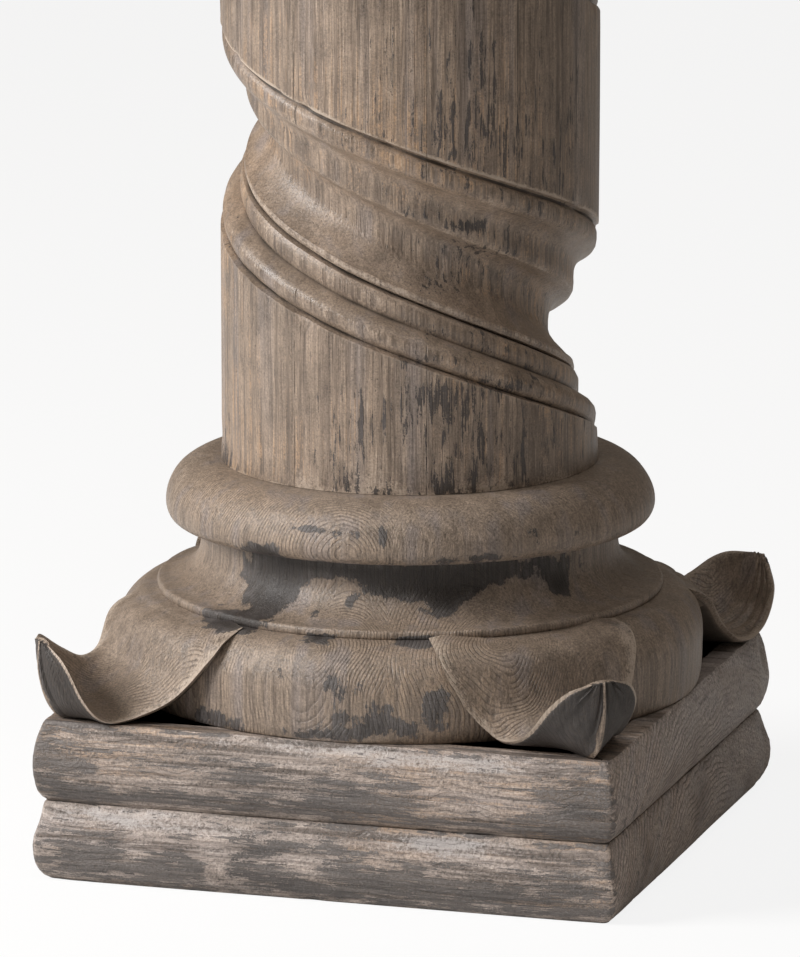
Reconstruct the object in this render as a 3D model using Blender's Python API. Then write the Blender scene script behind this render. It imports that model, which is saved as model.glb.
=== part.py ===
"""Carved wooden column: a two-slab plinth, a turned base with four corner leaves, a shaft with a
spiral groove, and a plain turned capital under one square slab.

Metres, +Z up. The origin is the middle of the plinth's underside. The front of the plinth faces -Y.
"""

import math

import bmesh
import bpy
from mathutils import Matrix

# Overall
COLUMN_HEIGHT = 2.438
SEAT_GAP = 0.0003

# Plinth and abacus slabs, each with a rounded edge
PLINTH_WIDTH = 0.406
LOWER_SLAB_HEIGHT = 0.0534
UPPER_SLAB_HEIGHT = 0.0550
ABACUS_WIDTH = 0.356
ABACUS_HEIGHT = 0.0550
SLAB_EDGE_BULGE = 0.0080
SLAB_EDGE_STEPS = 6

# Turned base, from its foot on the plinth to the seat of the shaft
BASE_SEGMENTS = 40
BASE_HEIGHT = 0.1522
LOWER_TORUS_RADIUS = 0.1990
LOWER_TORUS_FOOT_RADIUS = 0.1880
LOWER_TORUS_HEIGHT = 0.0640
RING_RADIUS = 0.1715
RING_HEIGHT = 0.0065
COVE_DEPTH = 0.0020
NECK_RADIUS = 0.1410
SCOTIA_HEIGHT = 0.0260
NECK_HEIGHT = 0.0145
UPPER_TORUS_RADIUS = 0.1650
UPPER_TORUS_EQUATOR_DROP = 0.0300
UPPER_TORUS_LIP_INSET = 0.0070
UPPER_TORUS_LIP_RISE = 0.0012
SEAT_COLLAR = 0.0080

# Corner leaves, carved from the same block as the base
LEAF_SETBACK = 0.0030
LEAF_CLEARANCE = 0.0006
LEAF_ROOT_RUN = 0.0850
LEAF_HALF_WIDTH = 0.0730
LEAF_EDGE_THICKNESS = 0.0045
LEAF_STATIONS = 13
LEAF_TOP_POINTS = 7
LEAF_KEEL_POINTS = 5

# Shaft and its spiral
SHAFT_RADIUS = 0.1273
SHAFT_PLAIN_END = 0.0050
SPIRAL_RUN_OUT = 0.0220
SPIRAL_PITCH = 0.2840
SPIRAL_BAND_HEIGHT = 0.1425
SPIRAL_DEPTH = 0.0340
SPIRAL_SEGMENTS = 26
SPIRAL_EDGE_HEIGHT = 0.3490
SPIRAL_EDGE_ANGLE = math.radians(-73.0)

# Capital
CAPITAL_HEIGHT = 0.1150
CAPITAL_SEGMENTS = 32
ASTRAGAL_RADIUS = 0.1410
ASTRAGAL_HEIGHT = 0.0200
CAPITAL_NECK_HEIGHT = 0.0320
FILLET_RADIUS = 0.1360
FILLET_HEIGHT = 0.0080
ECHINUS_RADIUS = 0.1640
ECHINUS_TOP_BAND = 0.0100

PLINTH_TOP = LOWER_SLAB_HEIGHT + UPPER_SLAB_HEIGHT
BASE_TOP = PLINTH_TOP + BASE_HEIGHT
ABACUS_BOTTOM = COLUMN_HEIGHT - ABACUS_HEIGHT
CAPITAL_BOTTOM = ABACUS_BOTTOM - CAPITAL_HEIGHT
WELD = 1e-6
SHARP_ANGLE = math.radians(35.0)

# Colours of the wood: the plinth, the turned pieces and the shaft
PLINTH_COLOUR = (0.31, 0.26, 0.23)
TURNED_COLOUR = (0.30, 0.24, 0.18)
SHAFT_COLOUR = (0.29, 0.23, 0.18)


def clear_scene():
    """Remove whatever the file holds."""
    for old in list(bpy.data.objects):
        bpy.data.objects.remove(old)


def wood(piece, colour):
    """The plain wood material of one piece."""
    material = bpy.data.materials.new(f"{piece}_wood")
    material.use_nodes = True
    shader = material.node_tree.nodes["Principled BSDF"]
    shader.inputs["Base Color"].default_value = (*colour, 1.0)
    shader.inputs["Roughness"].default_value = 0.62
    shader.inputs["Metallic"].default_value = 0.0
    return material


def finish(name, bm, colour):
    """Turn a bmesh into a named object with its own material, outward faces and smooth shading."""
    bmesh.ops.remove_doubles(bm, verts=bm.verts, dist=WELD)
    bmesh.ops.recalc_face_normals(bm, faces=bm.faces)
    mesh = bpy.data.meshes.new(name)
    bm.to_mesh(mesh)
    bm.free()
    mesh.materials.append(wood(name, colour))
    mesh.shade_smooth()
    mesh.set_sharp_from_angle(angle=SHARP_ANGLE)
    made = bpy.data.objects.new(name, mesh)
    bpy.context.scene.collection.objects.link(made)
    return made


def ring_of(bm, points):
    """A closed loop of edges through the points."""
    verts = [bm.verts.new(p) for p in points]
    return [bm.edges.new((verts[i - 1], verts[i])) for i in range(len(verts))]


def loft(bm, rings):
    """Bridge closed rings in order and cap both ends."""
    loops = [ring_of(bm, ring) for ring in rings]
    for lower, upper in zip(loops, loops[1:]):
        bmesh.ops.bridge_loops(bm, edges=lower + upper)
    for loop in (loops[0], loops[-1]):
        bmesh.ops.contextual_create(bm, geom=loop)


def turn(bm, outline, segments):
    """Spin an outline of (radius, height) points, axis to axis, through a full turn."""
    verts = [bm.verts.new((radius, 0.0, height)) for radius, height in outline]
    edges = [bm.edges.new(pair) for pair in zip(verts, verts[1:])]
    bmesh.ops.spin(
        bm,
        geom=verts + edges,
        cent=(0, 0, 0),
        axis=(0, 0, 1),
        angle=2 * math.pi,
        steps=segments,
        use_merge=True,
    )
    bmesh.ops.remove_doubles(bm, verts=bm.verts, dist=WELD)


def arc(start, end, steps, bulge_first="radius"):
    """Points of a quarter ellipse from start to end, leaving start along the radius or the height."""
    points = []
    for i in range(1, steps + 1):
        angle = math.pi / 2 * i / steps
        along, across = math.sin(angle), 1 - math.cos(angle)
        if bulge_first == "height":
            along, across = across, along
        points.append(
            (start[0] + (end[0] - start[0]) * along, start[1] + (end[1] - start[1]) * across)
        )
    return points


def spline(knots, at):
    """Value at a parameter of a smooth curve through (parameter, value, value...) knots."""
    last = len(knots) - 2
    i = max(k for k in range(last + 1) if k == 0 or knots[k][0] <= at)
    before, left, right, after = (knots[min(max(i + k, 0), last + 1)] for k in (-1, 0, 1, 2))
    span = right[0] - left[0]
    t = (at - left[0]) / span
    values = []
    for b, l, r, a in zip(before[1:], left[1:], right[1:], after[1:]):
        slope_l = (r - b) / max(right[0] - before[0], WELD) * span
        slope_r = (a - l) / max(after[0] - left[0], WELD) * span
        values.append(
            (2 * t**3 - 3 * t**2 + 1) * l
            + (t**3 - 2 * t**2 + t) * slope_l
            + (3 * t**2 - 2 * t**3) * r
            + (t**3 - t**2) * slope_r
        )
    return values


def slab(name, width, bottom, height):
    """A square slab whose four edges are rounded outwards over their whole height."""
    rings = []
    for i in range(SLAB_EDGE_STEPS + 1):
        angle = math.pi * i / SLAB_EDGE_STEPS
        half = width / 2 - SLAB_EDGE_BULGE * (1 - math.sin(angle))
        level = bottom + height / 2 * (1 - math.cos(angle))
        rings.append([(half * x, half * y, level) for x, y in ((-1, -1), (1, -1), (1, 1), (-1, 1))])
    bm = bmesh.new()
    loft(bm, rings)
    return finish(name, bm, PLINTH_COLOUR)


def base_outline():
    """(radius, height) outline of the turned base: torus, ring, scotia, upper torus and seat."""
    foot = PLINTH_TOP + SEAT_GAP
    equator = PLINTH_TOP + LOWER_TORUS_HEIGHT * 0.50
    torus_top = PLINTH_TOP + LOWER_TORUS_HEIGHT
    ring_top = torus_top + RING_HEIGHT
    neck = ring_top + SCOTIA_HEIGHT
    upper_equator = BASE_TOP - UPPER_TORUS_EQUATOR_DROP
    points = [(0.0, foot), (LOWER_TORUS_FOOT_RADIUS, foot)]
    points += arc(points[-1], (LOWER_TORUS_RADIUS, equator), 4)
    points += arc(points[-1], (RING_RADIUS + COVE_DEPTH, torus_top), 5, "height")
    points += [(RING_RADIUS - COVE_DEPTH / 2, torus_top + RING_HEIGHT * 0.1)]
    points += [(RING_RADIUS, torus_top + RING_HEIGHT * 0.5), (RING_RADIUS - COVE_DEPTH, ring_top)]
    points += arc(points[-1], (NECK_RADIUS, neck), 4)
    points += [(NECK_RADIUS, neck + NECK_HEIGHT)]
    lip = neck + NECK_HEIGHT + UPPER_TORUS_LIP_RISE
    points += [(UPPER_TORUS_RADIUS - UPPER_TORUS_LIP_INSET, lip)]
    points += arc(points[-1], (UPPER_TORUS_RADIUS, upper_equator), 3)
    points += arc(points[-1], (SHAFT_RADIUS + SEAT_COLLAR, BASE_TOP), 4, "height")
    points += [(0.0, BASE_TOP)]
    return points


# Lines of a corner leaf, as knots from its root under the ring to its tip. Each knot has the share
# of the leaf's length, the distance out (-1 at the root's run inside the torus, 0 at the torus, 1 at
# the leaf's reach), then, for an edge, the share of the half width, and last of the torus height.
MIDDLE_LINE = [
    (0.00, -0.35, 1.00),
    (0.18, -0.07, 0.88),
    (0.36, 0.10, 0.42),
    (0.60, 0.45, 0.14),
    (0.84, 0.76, 0.32),
    (0.94, 0.88, 0.63),
    (1.00, 0.945, 0.87),
]
KEEL_LINE = [
    (0.00, -0.60, 0.40),
    (0.20, -0.40, 0.00),
    (0.60, 0.40, 0.00),
    (0.78, 0.74, 0.00),
    (0.88, 0.90, 0.20),
    (0.96, 0.99, 0.55),
    (1.00, 0.99, 0.85),
]
DIPPED_EDGE = [
    (0.00, -0.46, 0.99, 1.00),
    (0.18, -0.19, 1.00, 0.80),
    (0.36, -0.02, 0.77, 0.25),
    (0.50, 0.17, 0.49, 0.07),
    (0.64, 0.44, 0.44, 0.21),
    (0.80, 0.69, 0.41, 0.56),
    (0.92, 0.84, 0.28, 0.79),
    (1.00, 0.93, 0.11, 0.86),
]
LOW_EDGE = [
    (0.00, -0.43, 0.96, 1.00),
    (0.18, -0.15, 0.95, 0.76),
    (0.36, 0.09, 0.66, 0.34),
    (0.50, 0.33, 0.47, 0.10),
    (0.64, 0.56, 0.43, 0.09),
    (0.80, 0.74, 0.40, 0.32),
    (0.92, 0.87, 0.30, 0.68),
    (1.00, 0.94, 0.12, 0.84),
]
HIGH_EDGE = [
    (0.00, -0.46, 0.99, 1.00),
    (0.18, -0.18, 0.95, 0.82),
    (0.36, 0.07, 0.68, 0.53),
    (0.50, 0.29, 0.52, 0.50),
    (0.64, 0.48, 0.47, 0.61),
    (0.80, 0.66, 0.42, 0.75),
    (0.92, 0.80, 0.31, 0.83),
    (1.00, 0.93, 0.13, 0.85),
]
LIFTED_EDGE = [
    (0.00, -0.46, 0.96, 1.00),
    (0.18, -0.14, 0.90, 0.79),
    (0.36, 0.13, 0.68, 0.40),
    (0.50, 0.37, 0.52, 0.16),
    (0.64, 0.56, 0.47, 0.14),
    (0.80, 0.73, 0.42, 0.33),
    (0.92, 0.85, 0.33, 0.60),
    (1.00, 0.93, 0.13, 0.78),
]
# Each leaf's direction on the plan, its right-hand edge and its left-hand edge, seen from its tip
LEAVES = [
    (math.radians(-46.0), DIPPED_EDGE, DIPPED_EDGE),
    (math.radians(45.0), HIGH_EDGE, LIFTED_EDGE),
    (math.radians(135.0), DIPPED_EDGE, HIGH_EDGE),
    (math.radians(-135.0), LOW_EDGE, HIGH_EDGE),
]


def leaf_distance(share):
    """Distance from the column's axis along the leaf's diagonal: inside the torus, then beyond it."""
    reach = PLINTH_WIDTH / 2 * math.sqrt(2) - LEAF_SETBACK
    run = LEAF_ROOT_RUN if share < 0 else reach - LOWER_TORUS_RADIUS
    return LOWER_TORUS_RADIUS + run * share


def leaf_ring(along, right_edge, left_edge):
    """One closed section of a leaf that points along +X: over its top, then back under its keel."""
    mid_out, mid_up = spline(MIDDLE_LINE, along)
    keel_out, keel_up = spline(KEEL_LINE, along)
    lean = min(max((along - 0.5) / 0.4, 0.0), 1.0)
    thin_up = LEAF_EDGE_THICKNESS * (1 - 0.7 * lean) / LOWER_TORUS_HEIGHT
    thin_out = LEAF_EDGE_THICKNESS * 0.8 * lean

    def point(side, middle_out, middle_up, power, drop, push, squeeze):
        edge_out, edge_half, edge_up = spline(right_edge if side > 0 else left_edge, along)
        bend = abs(side) ** power
        out = middle_out + (edge_out - middle_out) * bend
        up = middle_up + (edge_up - drop - middle_up) * bend
        height = max(up * LOWER_TORUS_HEIGHT, LEAF_CLEARANCE)
        across = edge_half * LEAF_HALF_WIDTH * side * squeeze
        return (leaf_distance(out) + push * bend, across, PLINTH_TOP + height)

    top_sides = [2 * i / (LEAF_TOP_POINTS - 1) - 1 for i in range(LEAF_TOP_POINTS)]
    keel_sides = [1 - 2 * (i + 0.5) / LEAF_KEEL_POINTS for i in range(LEAF_KEEL_POINTS)]
    over = [point(side, mid_out, mid_up, 2.0, 0.0, 0.0, 1.0) for side in top_sides]
    under = [point(side, keel_out, keel_up, 1.5, thin_up, thin_out, 1.15) for side in keel_sides]
    return over + under


def leaf(index, direction, right_edge, left_edge):
    """One corner leaf on its diagonal, as an object that the base takes in."""
    bm = bmesh.new()
    stations = [i / (LEAF_STATIONS - 1) for i in range(LEAF_STATIONS)]
    loft(bm, [leaf_ring(along, right_edge, left_edge) for along in stations])
    turned = Matrix.Rotation(direction, 3, "Z")
    bmesh.ops.rotate(bm, verts=bm.verts, cent=(0, 0, 0), matrix=turned)
    bmesh.ops.triangulate(bm, faces=bm.faces)
    made = finish(f"corner_leaf_{index}", bm, TURNED_COLOUR)
    made.hide_render = True
    made.display_type = "WIRE"
    return made


def carved_base():
    """The turned base with its four corner leaves, one solid."""
    bm = bmesh.new()
    turn(bm, base_outline(), BASE_SEGMENTS)
    base = finish("carved_base", bm, TURNED_COLOUR)
    for index, shape in enumerate(LEAVES):
        union = base.modifiers.new(f"leaf_{index}", "BOOLEAN")
        union.operation = "UNION"
        union.object = leaf(index, *shape)
    return base


def spiral_outline():
    """(drop, radius) points of one pitch: the mouldings of the groove, then the plain band."""
    shares = [
        (0.000, 0.00),
        (0.020, 0.12),
        (0.068, 0.06),
        (0.136, 0.20),
        (0.196, 0.47),
        (0.310, 0.55),
        (0.375, 0.86),
        (0.500, 1.00),
        (0.630, 0.70),
        (0.735, 0.49),
        (0.828, 0.42),
        (0.915, 0.06),
        (0.985, 0.12),
        (1.000, 0.00),
    ]
    deepest = SHAFT_RADIUS - SPIRAL_DEPTH
    points = [
        (SPIRAL_BAND_HEIGHT * drop, SHAFT_RADIUS + (deepest - SHAFT_RADIUS) * depth)
        for drop, depth in shares
    ]
    return points + [(SPIRAL_PITCH, SHAFT_RADIUS)]


def run_out(bm, bottom, top):
    """Fade the spiral to the full radius near both ends, so that each end is a plain round band."""
    for vert in bm.verts:
        inside = min(vert.co.z - bottom, top - vert.co.z) - SHAFT_PLAIN_END
        share = min(max(inside / SPIRAL_RUN_OUT, 0.0), 1.0)
        radius = math.hypot(vert.co.x, vert.co.y)
        wanted = SHAFT_RADIUS - (SHAFT_RADIUS - radius) * share * share * (3 - 2 * share)
        vert.co.x *= wanted / radius
        vert.co.y *= wanted / radius


def twisted_shaft():
    """The shaft: one pitch of the outline swept down a left-hand screw, then cut flat at both ends."""
    bottom, top = BASE_TOP + SEAT_GAP, CAPITAL_BOTTOM - SEAT_GAP
    turns_above = math.ceil((top - SPIRAL_EDGE_HEIGHT) / SPIRAL_PITCH) + 2
    turns_below = math.ceil((SPIRAL_EDGE_HEIGHT - bottom) / SPIRAL_PITCH) + 2
    turns = turns_above + turns_below
    start = SPIRAL_EDGE_HEIGHT + SPIRAL_BAND_HEIGHT + turns_above * SPIRAL_PITCH
    bm = bmesh.new()
    verts = [bm.verts.new((radius, 0.0, start - drop)) for drop, radius in spiral_outline()]
    edges = [bm.edges.new(pair) for pair in zip(verts, verts[1:])]
    bmesh.ops.spin(
        bm,
        geom=verts + edges,
        cent=(0, 0, 0),
        axis=(0, 0, 1),
        dvec=(0, 0, -SPIRAL_PITCH / SPIRAL_SEGMENTS),
        angle=2 * math.pi * turns,
        steps=turns * SPIRAL_SEGMENTS,
    )
    to_edge = Matrix.Rotation(SPIRAL_EDGE_ANGLE, 3, "Z")
    bmesh.ops.rotate(bm, verts=bm.verts, cent=(0, 0, 0), matrix=to_edge)
    bmesh.ops.remove_doubles(bm, verts=bm.verts, dist=1e-5)
    run_out(bm, bottom, top)
    for level, outward in ((bottom, -1), (top, 1)):
        cut = bmesh.ops.bisect_plane(
            bm,
            geom=bm.verts[:] + bm.edges[:] + bm.faces[:],
            dist=1e-5,
            plane_co=(0, 0, level),
            plane_no=(0, 0, outward),
            clear_outer=True,
        )
        rim = [item for item in cut["geom_cut"] if isinstance(item, bmesh.types.BMEdge)]
        bmesh.ops.contextual_create(bm, geom=rim)
    return finish("twisted_shaft", bm, SHAFT_COLOUR)


def capital_outline():
    """(radius, height) outline of the capital: astragal, neck, fillet and echinus."""
    bottom = CAPITAL_BOTTOM
    top = ABACUS_BOTTOM - SEAT_GAP
    neck_bottom = bottom + ASTRAGAL_HEIGHT
    neck_top = neck_bottom + CAPITAL_NECK_HEIGHT
    fillet_top = neck_top + FILLET_HEIGHT
    band_bottom = top - ECHINUS_TOP_BAND
    middle = bottom + ASTRAGAL_HEIGHT / 2
    points = [(0.0, bottom), (SHAFT_RADIUS, bottom)]
    points += arc(points[-1], (ASTRAGAL_RADIUS, middle), 3)
    points += arc(points[-1], (SHAFT_RADIUS, neck_bottom), 3, "height")
    points += [(SHAFT_RADIUS, neck_top), (FILLET_RADIUS, neck_top), (FILLET_RADIUS, fillet_top)]
    points += arc(points[-1], (ECHINUS_RADIUS, band_bottom), 5)
    points += [(ECHINUS_RADIUS, top), (0.0, top)]
    return points


def capital():
    """The plain turned capital."""
    bm = bmesh.new()
    turn(bm, capital_outline(), CAPITAL_SEGMENTS)
    return finish("capital", bm, TURNED_COLOUR)


def main():
    """Build every piece of the column, from the floor up."""
    clear_scene()
    upper_bottom = LOWER_SLAB_HEIGHT + SEAT_GAP
    slab("plinth_lower_slab", PLINTH_WIDTH, 0.0, LOWER_SLAB_HEIGHT)
    slab("plinth_upper_slab", PLINTH_WIDTH, upper_bottom, PLINTH_TOP - upper_bottom)
    carved_base()
    twisted_shaft()
    capital()
    slab("abacus_slab", ABACUS_WIDTH, ABACUS_BOTTOM, ABACUS_HEIGHT)


main()
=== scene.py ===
"""Looks of the carved wooden column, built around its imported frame.

Metres, +Z up. The origin is the middle of the plinth's underside, and the plinth's front faces -Y.
Round pieces are described by an azimuth (degrees, counterclockwise from +X) and a height.
"""

from __future__ import annotations

import enum
import logging
import math
from collections.abc import Callable, Sequence
from dataclasses import dataclass, field

import bmesh
import bpy
import numpy as np
from mathutils import Matrix, Vector, noise


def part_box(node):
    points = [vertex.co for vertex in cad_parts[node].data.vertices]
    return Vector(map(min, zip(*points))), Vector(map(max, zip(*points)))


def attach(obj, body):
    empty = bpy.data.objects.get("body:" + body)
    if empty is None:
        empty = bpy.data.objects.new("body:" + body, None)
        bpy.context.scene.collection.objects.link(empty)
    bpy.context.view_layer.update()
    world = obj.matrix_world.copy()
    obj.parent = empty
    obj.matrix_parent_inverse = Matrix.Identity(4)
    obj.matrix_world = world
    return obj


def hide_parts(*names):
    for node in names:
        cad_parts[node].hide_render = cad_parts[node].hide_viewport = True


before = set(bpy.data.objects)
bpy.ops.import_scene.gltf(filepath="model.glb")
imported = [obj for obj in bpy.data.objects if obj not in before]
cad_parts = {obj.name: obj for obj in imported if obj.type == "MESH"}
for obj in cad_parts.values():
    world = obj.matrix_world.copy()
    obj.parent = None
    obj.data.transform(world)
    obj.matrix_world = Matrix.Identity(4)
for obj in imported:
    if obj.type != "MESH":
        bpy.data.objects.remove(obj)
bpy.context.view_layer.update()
LOG = logging.getLogger("column")

Colour = tuple[float, float, float]
Knots = list[tuple[float, ...]]

WELD = 1e-6
SEAT_GAP = 0.0003

# Paces of the noises that every finish shares, in cells a metre, and the depth of its relief

BROAD_PACE = 7.0
MOTTLE_PACE = 60.0
PIT_PACE = 300.0
CRACK_PACE = 230.0
PALE_LINE_PACE = 200.0
RELIEF_DEPTH = 0.0011

# Turn between two faces, in degrees, above which the edge between them stays sharp

SHARP_TURN = 50.0


class Grain(enum.Enum):
    """The way the fibres of a piece run."""

    UPRIGHT = "upright"
    ALONG_FRONT = "along the front"


# Shader maths


def math_node(operation: str, reflected: bool = False) -> Callable[[Field, Value], Field]:
    """Make a method of Field that adds a Math node.

    Args:
        operation: what the node does.
        reflected: whether the other value comes first.

    Returns:
        The method.
    """

    def method(self: Field, other: Value = 0.0) -> Field:
        """The node's result for this value and the other."""
        first, second = (other, self) if reflected else (self, other)
        return self.bench.node("ShaderNodeMath", {"operation": operation}, {0: first, 1: second})

    return method


class Field:
    """A value that a shader node puts out. Arithmetic on it adds Math nodes."""

    def __init__(self, bench: Bench, socket: bpy.types.NodeSocket | None) -> None:
        """Keep the socket and the bench that makes its nodes."""
        self.bench = bench
        self.socket = socket

    __add__ = math_node("ADD")
    __radd__ = math_node("ADD", True)
    __sub__ = math_node("SUBTRACT")
    __rsub__ = math_node("SUBTRACT", True)
    __mul__ = math_node("MULTIPLY")
    __rmul__ = math_node("MULTIPLY", True)
    __truediv__ = math_node("DIVIDE")
    __rtruediv__ = math_node("DIVIDE", True)
    __pow__ = math_node("POWER")
    __abs__ = math_node("ABSOLUTE")
    floor = math_node("FLOOR")
    fraction = math_node("FRACT")
    angle = math_node("ARCTAN2")
    above = math_node("GREATER_THAN")
    largest = math_node("MAXIMUM")
    smallest = math_node("MINIMUM")


Value = Field | float


class Bench:
    """Makes the nodes of one material."""

    def __init__(self, name: str) -> None:
        """Start an empty material.

        Args:
            name: the material's name.
        """
        self.material = bpy.data.materials.new(name)
        self.material.use_nodes = True
        self.tree = self.material.node_tree
        self.tree.nodes.clear()

    def node(
        self,
        kind: str,
        settings: dict[str, object] | None = None,
        sockets: dict[int | str, object] | None = None,
        output: int = 0,
    ) -> Field:
        """Add a node.

        Args:
            kind: the node's type.
            settings: its properties, set first.
            sockets: values or links of its inputs, by name or number.
            output: the number of the output that is handed back.

        Returns:
            The output as a field.
        """
        made = self.tree.nodes.new(kind)
        for name, value in (settings or {}).items():
            setattr(made, name, value)
        for key, value in (sockets or {}).items():
            socket = made.inputs[key]
            if isinstance(value, Field):
                self.tree.links.new(value.socket, socket)
            elif isinstance(value, tuple) and socket.type == "RGBA":
                socket.default_value = (*value, 1.0)
            else:
                socket.default_value = value
        return Field(self, made.outputs[output] if len(made.outputs) else None)

    def position(self) -> Field:
        """Object coordinates."""
        return self.node("ShaderNodeTexCoord", output=3)

    def stretched(self, vector: Field, paces: Sequence[float], shift: float = 0.0) -> Field:
        """A vector times a factor for each axis, moved by a shift on every axis."""
        return self.node(
            "ShaderNodeVectorMath",
            {"operation": "MULTIPLY_ADD"},
            {0: vector, 1: tuple(paces), 2: (shift, shift, shift)},
        )

    def parts(self, vector: Field) -> tuple[Field, Field, Field]:
        """Split a vector.

        Args:
            vector: the vector.

        Returns:
            Its three numbers.
        """
        split = self.node("ShaderNodeSeparateXYZ", None, {0: vector})
        outputs = split.socket.node.outputs
        return tuple(Field(self, outputs[i]) for i in range(3))

    def joined(self, x: Value, y: Value, z: Value) -> Field:
        """A vector of three numbers."""
        return self.node("ShaderNodeCombineXYZ", None, {0: x, 1: y, 2: z})

    def cloud(self, vector: Field, scale: float, detail: float = 2.0, rough: float = 0.5) -> Field:
        """Smooth noise from 0 to 1, with its pace, its finer layers and their strength."""
        return self.node(
            "ShaderNodeTexNoise",
            None,
            {"Vector": vector, "Scale": scale, "Detail": detail, "Roughness": rough},
        )

    def warped(self, vector: Field, scale: float, amount: float) -> Field:
        """Push a vector about by noise.

        Args:
            vector: the vector.
            scale: the noise's pace, in cells a metre.
            amount: how far it pushes, in metres.

        Returns:
            The pushed vector.
        """
        push = self.node(
            "ShaderNodeTexNoise", None, {"Vector": vector, "Scale": scale, "Detail": 1.0}, 1
        )
        return self.node(
            "ShaderNodeVectorMath",
            {"operation": "MULTIPLY_ADD"},
            {0: push, 1: (amount,) * 3, 2: vector},
        )

    def step(self, value: Field, low: float, high: float, peak: float = 1.0) -> Field:
        """A soft step from 0 at low to peak at high, which may be the lower of the two."""
        return self.node(
            "ShaderNodeMapRange",
            {"interpolation_type": "SMOOTHSTEP"},
            {0: value, 1: low, 2: high, 3: 0.0, 4: peak},
        )

    def blend(self, factor: Value, first: Field | Colour, second: Field | Colour) -> Field:
        """Mix two colours."""
        return self.node(
            "ShaderNodeMix", {"data_type": "RGBA"}, {0: factor, 6: first, 7: second}, 2
        )

    def scaled(self, colour: Field, factor: Value) -> Field:
        """A colour times a number."""
        return self.node("ShaderNodeVectorMath", {"operation": "SCALE"}, {0: colour, 3: factor})

    def attribute(self, name: str) -> Field:
        """A number kept at the mesh's points."""
        return self.node("ShaderNodeAttribute", {"attribute_name": name}, None, 2)

    def close(self, colour: Field, rough: Value, normal: Field, gloss: float) -> None:
        """End the material in its surface shader.

        Args:
            colour: its colour.
            rough: its roughness.
            normal: its bumped normal.
            gloss: its specular level.
        """
        shader = self.node(
            "ShaderNodeBsdfPrincipled",
            None,
            {
                "Base Color": colour,
                "Roughness": rough,
                "Metallic": 0.0,
                "Specular IOR Level": gloss,
                "Normal": normal,
            },
        )
        self.node("ShaderNodeOutputMaterial", None, {"Surface": shader})


@dataclass(frozen=True)
class Clouds:
    """The noises of one material. Fibre, streak and band are drawn out along the grain."""

    place: Field
    grain: Field
    fibre: Field
    streak: Field
    band: Field
    broad: Field
    mottle: Field
    grit: Field
    torn: Field
    sand: Field
    sidelong: Field


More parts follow.
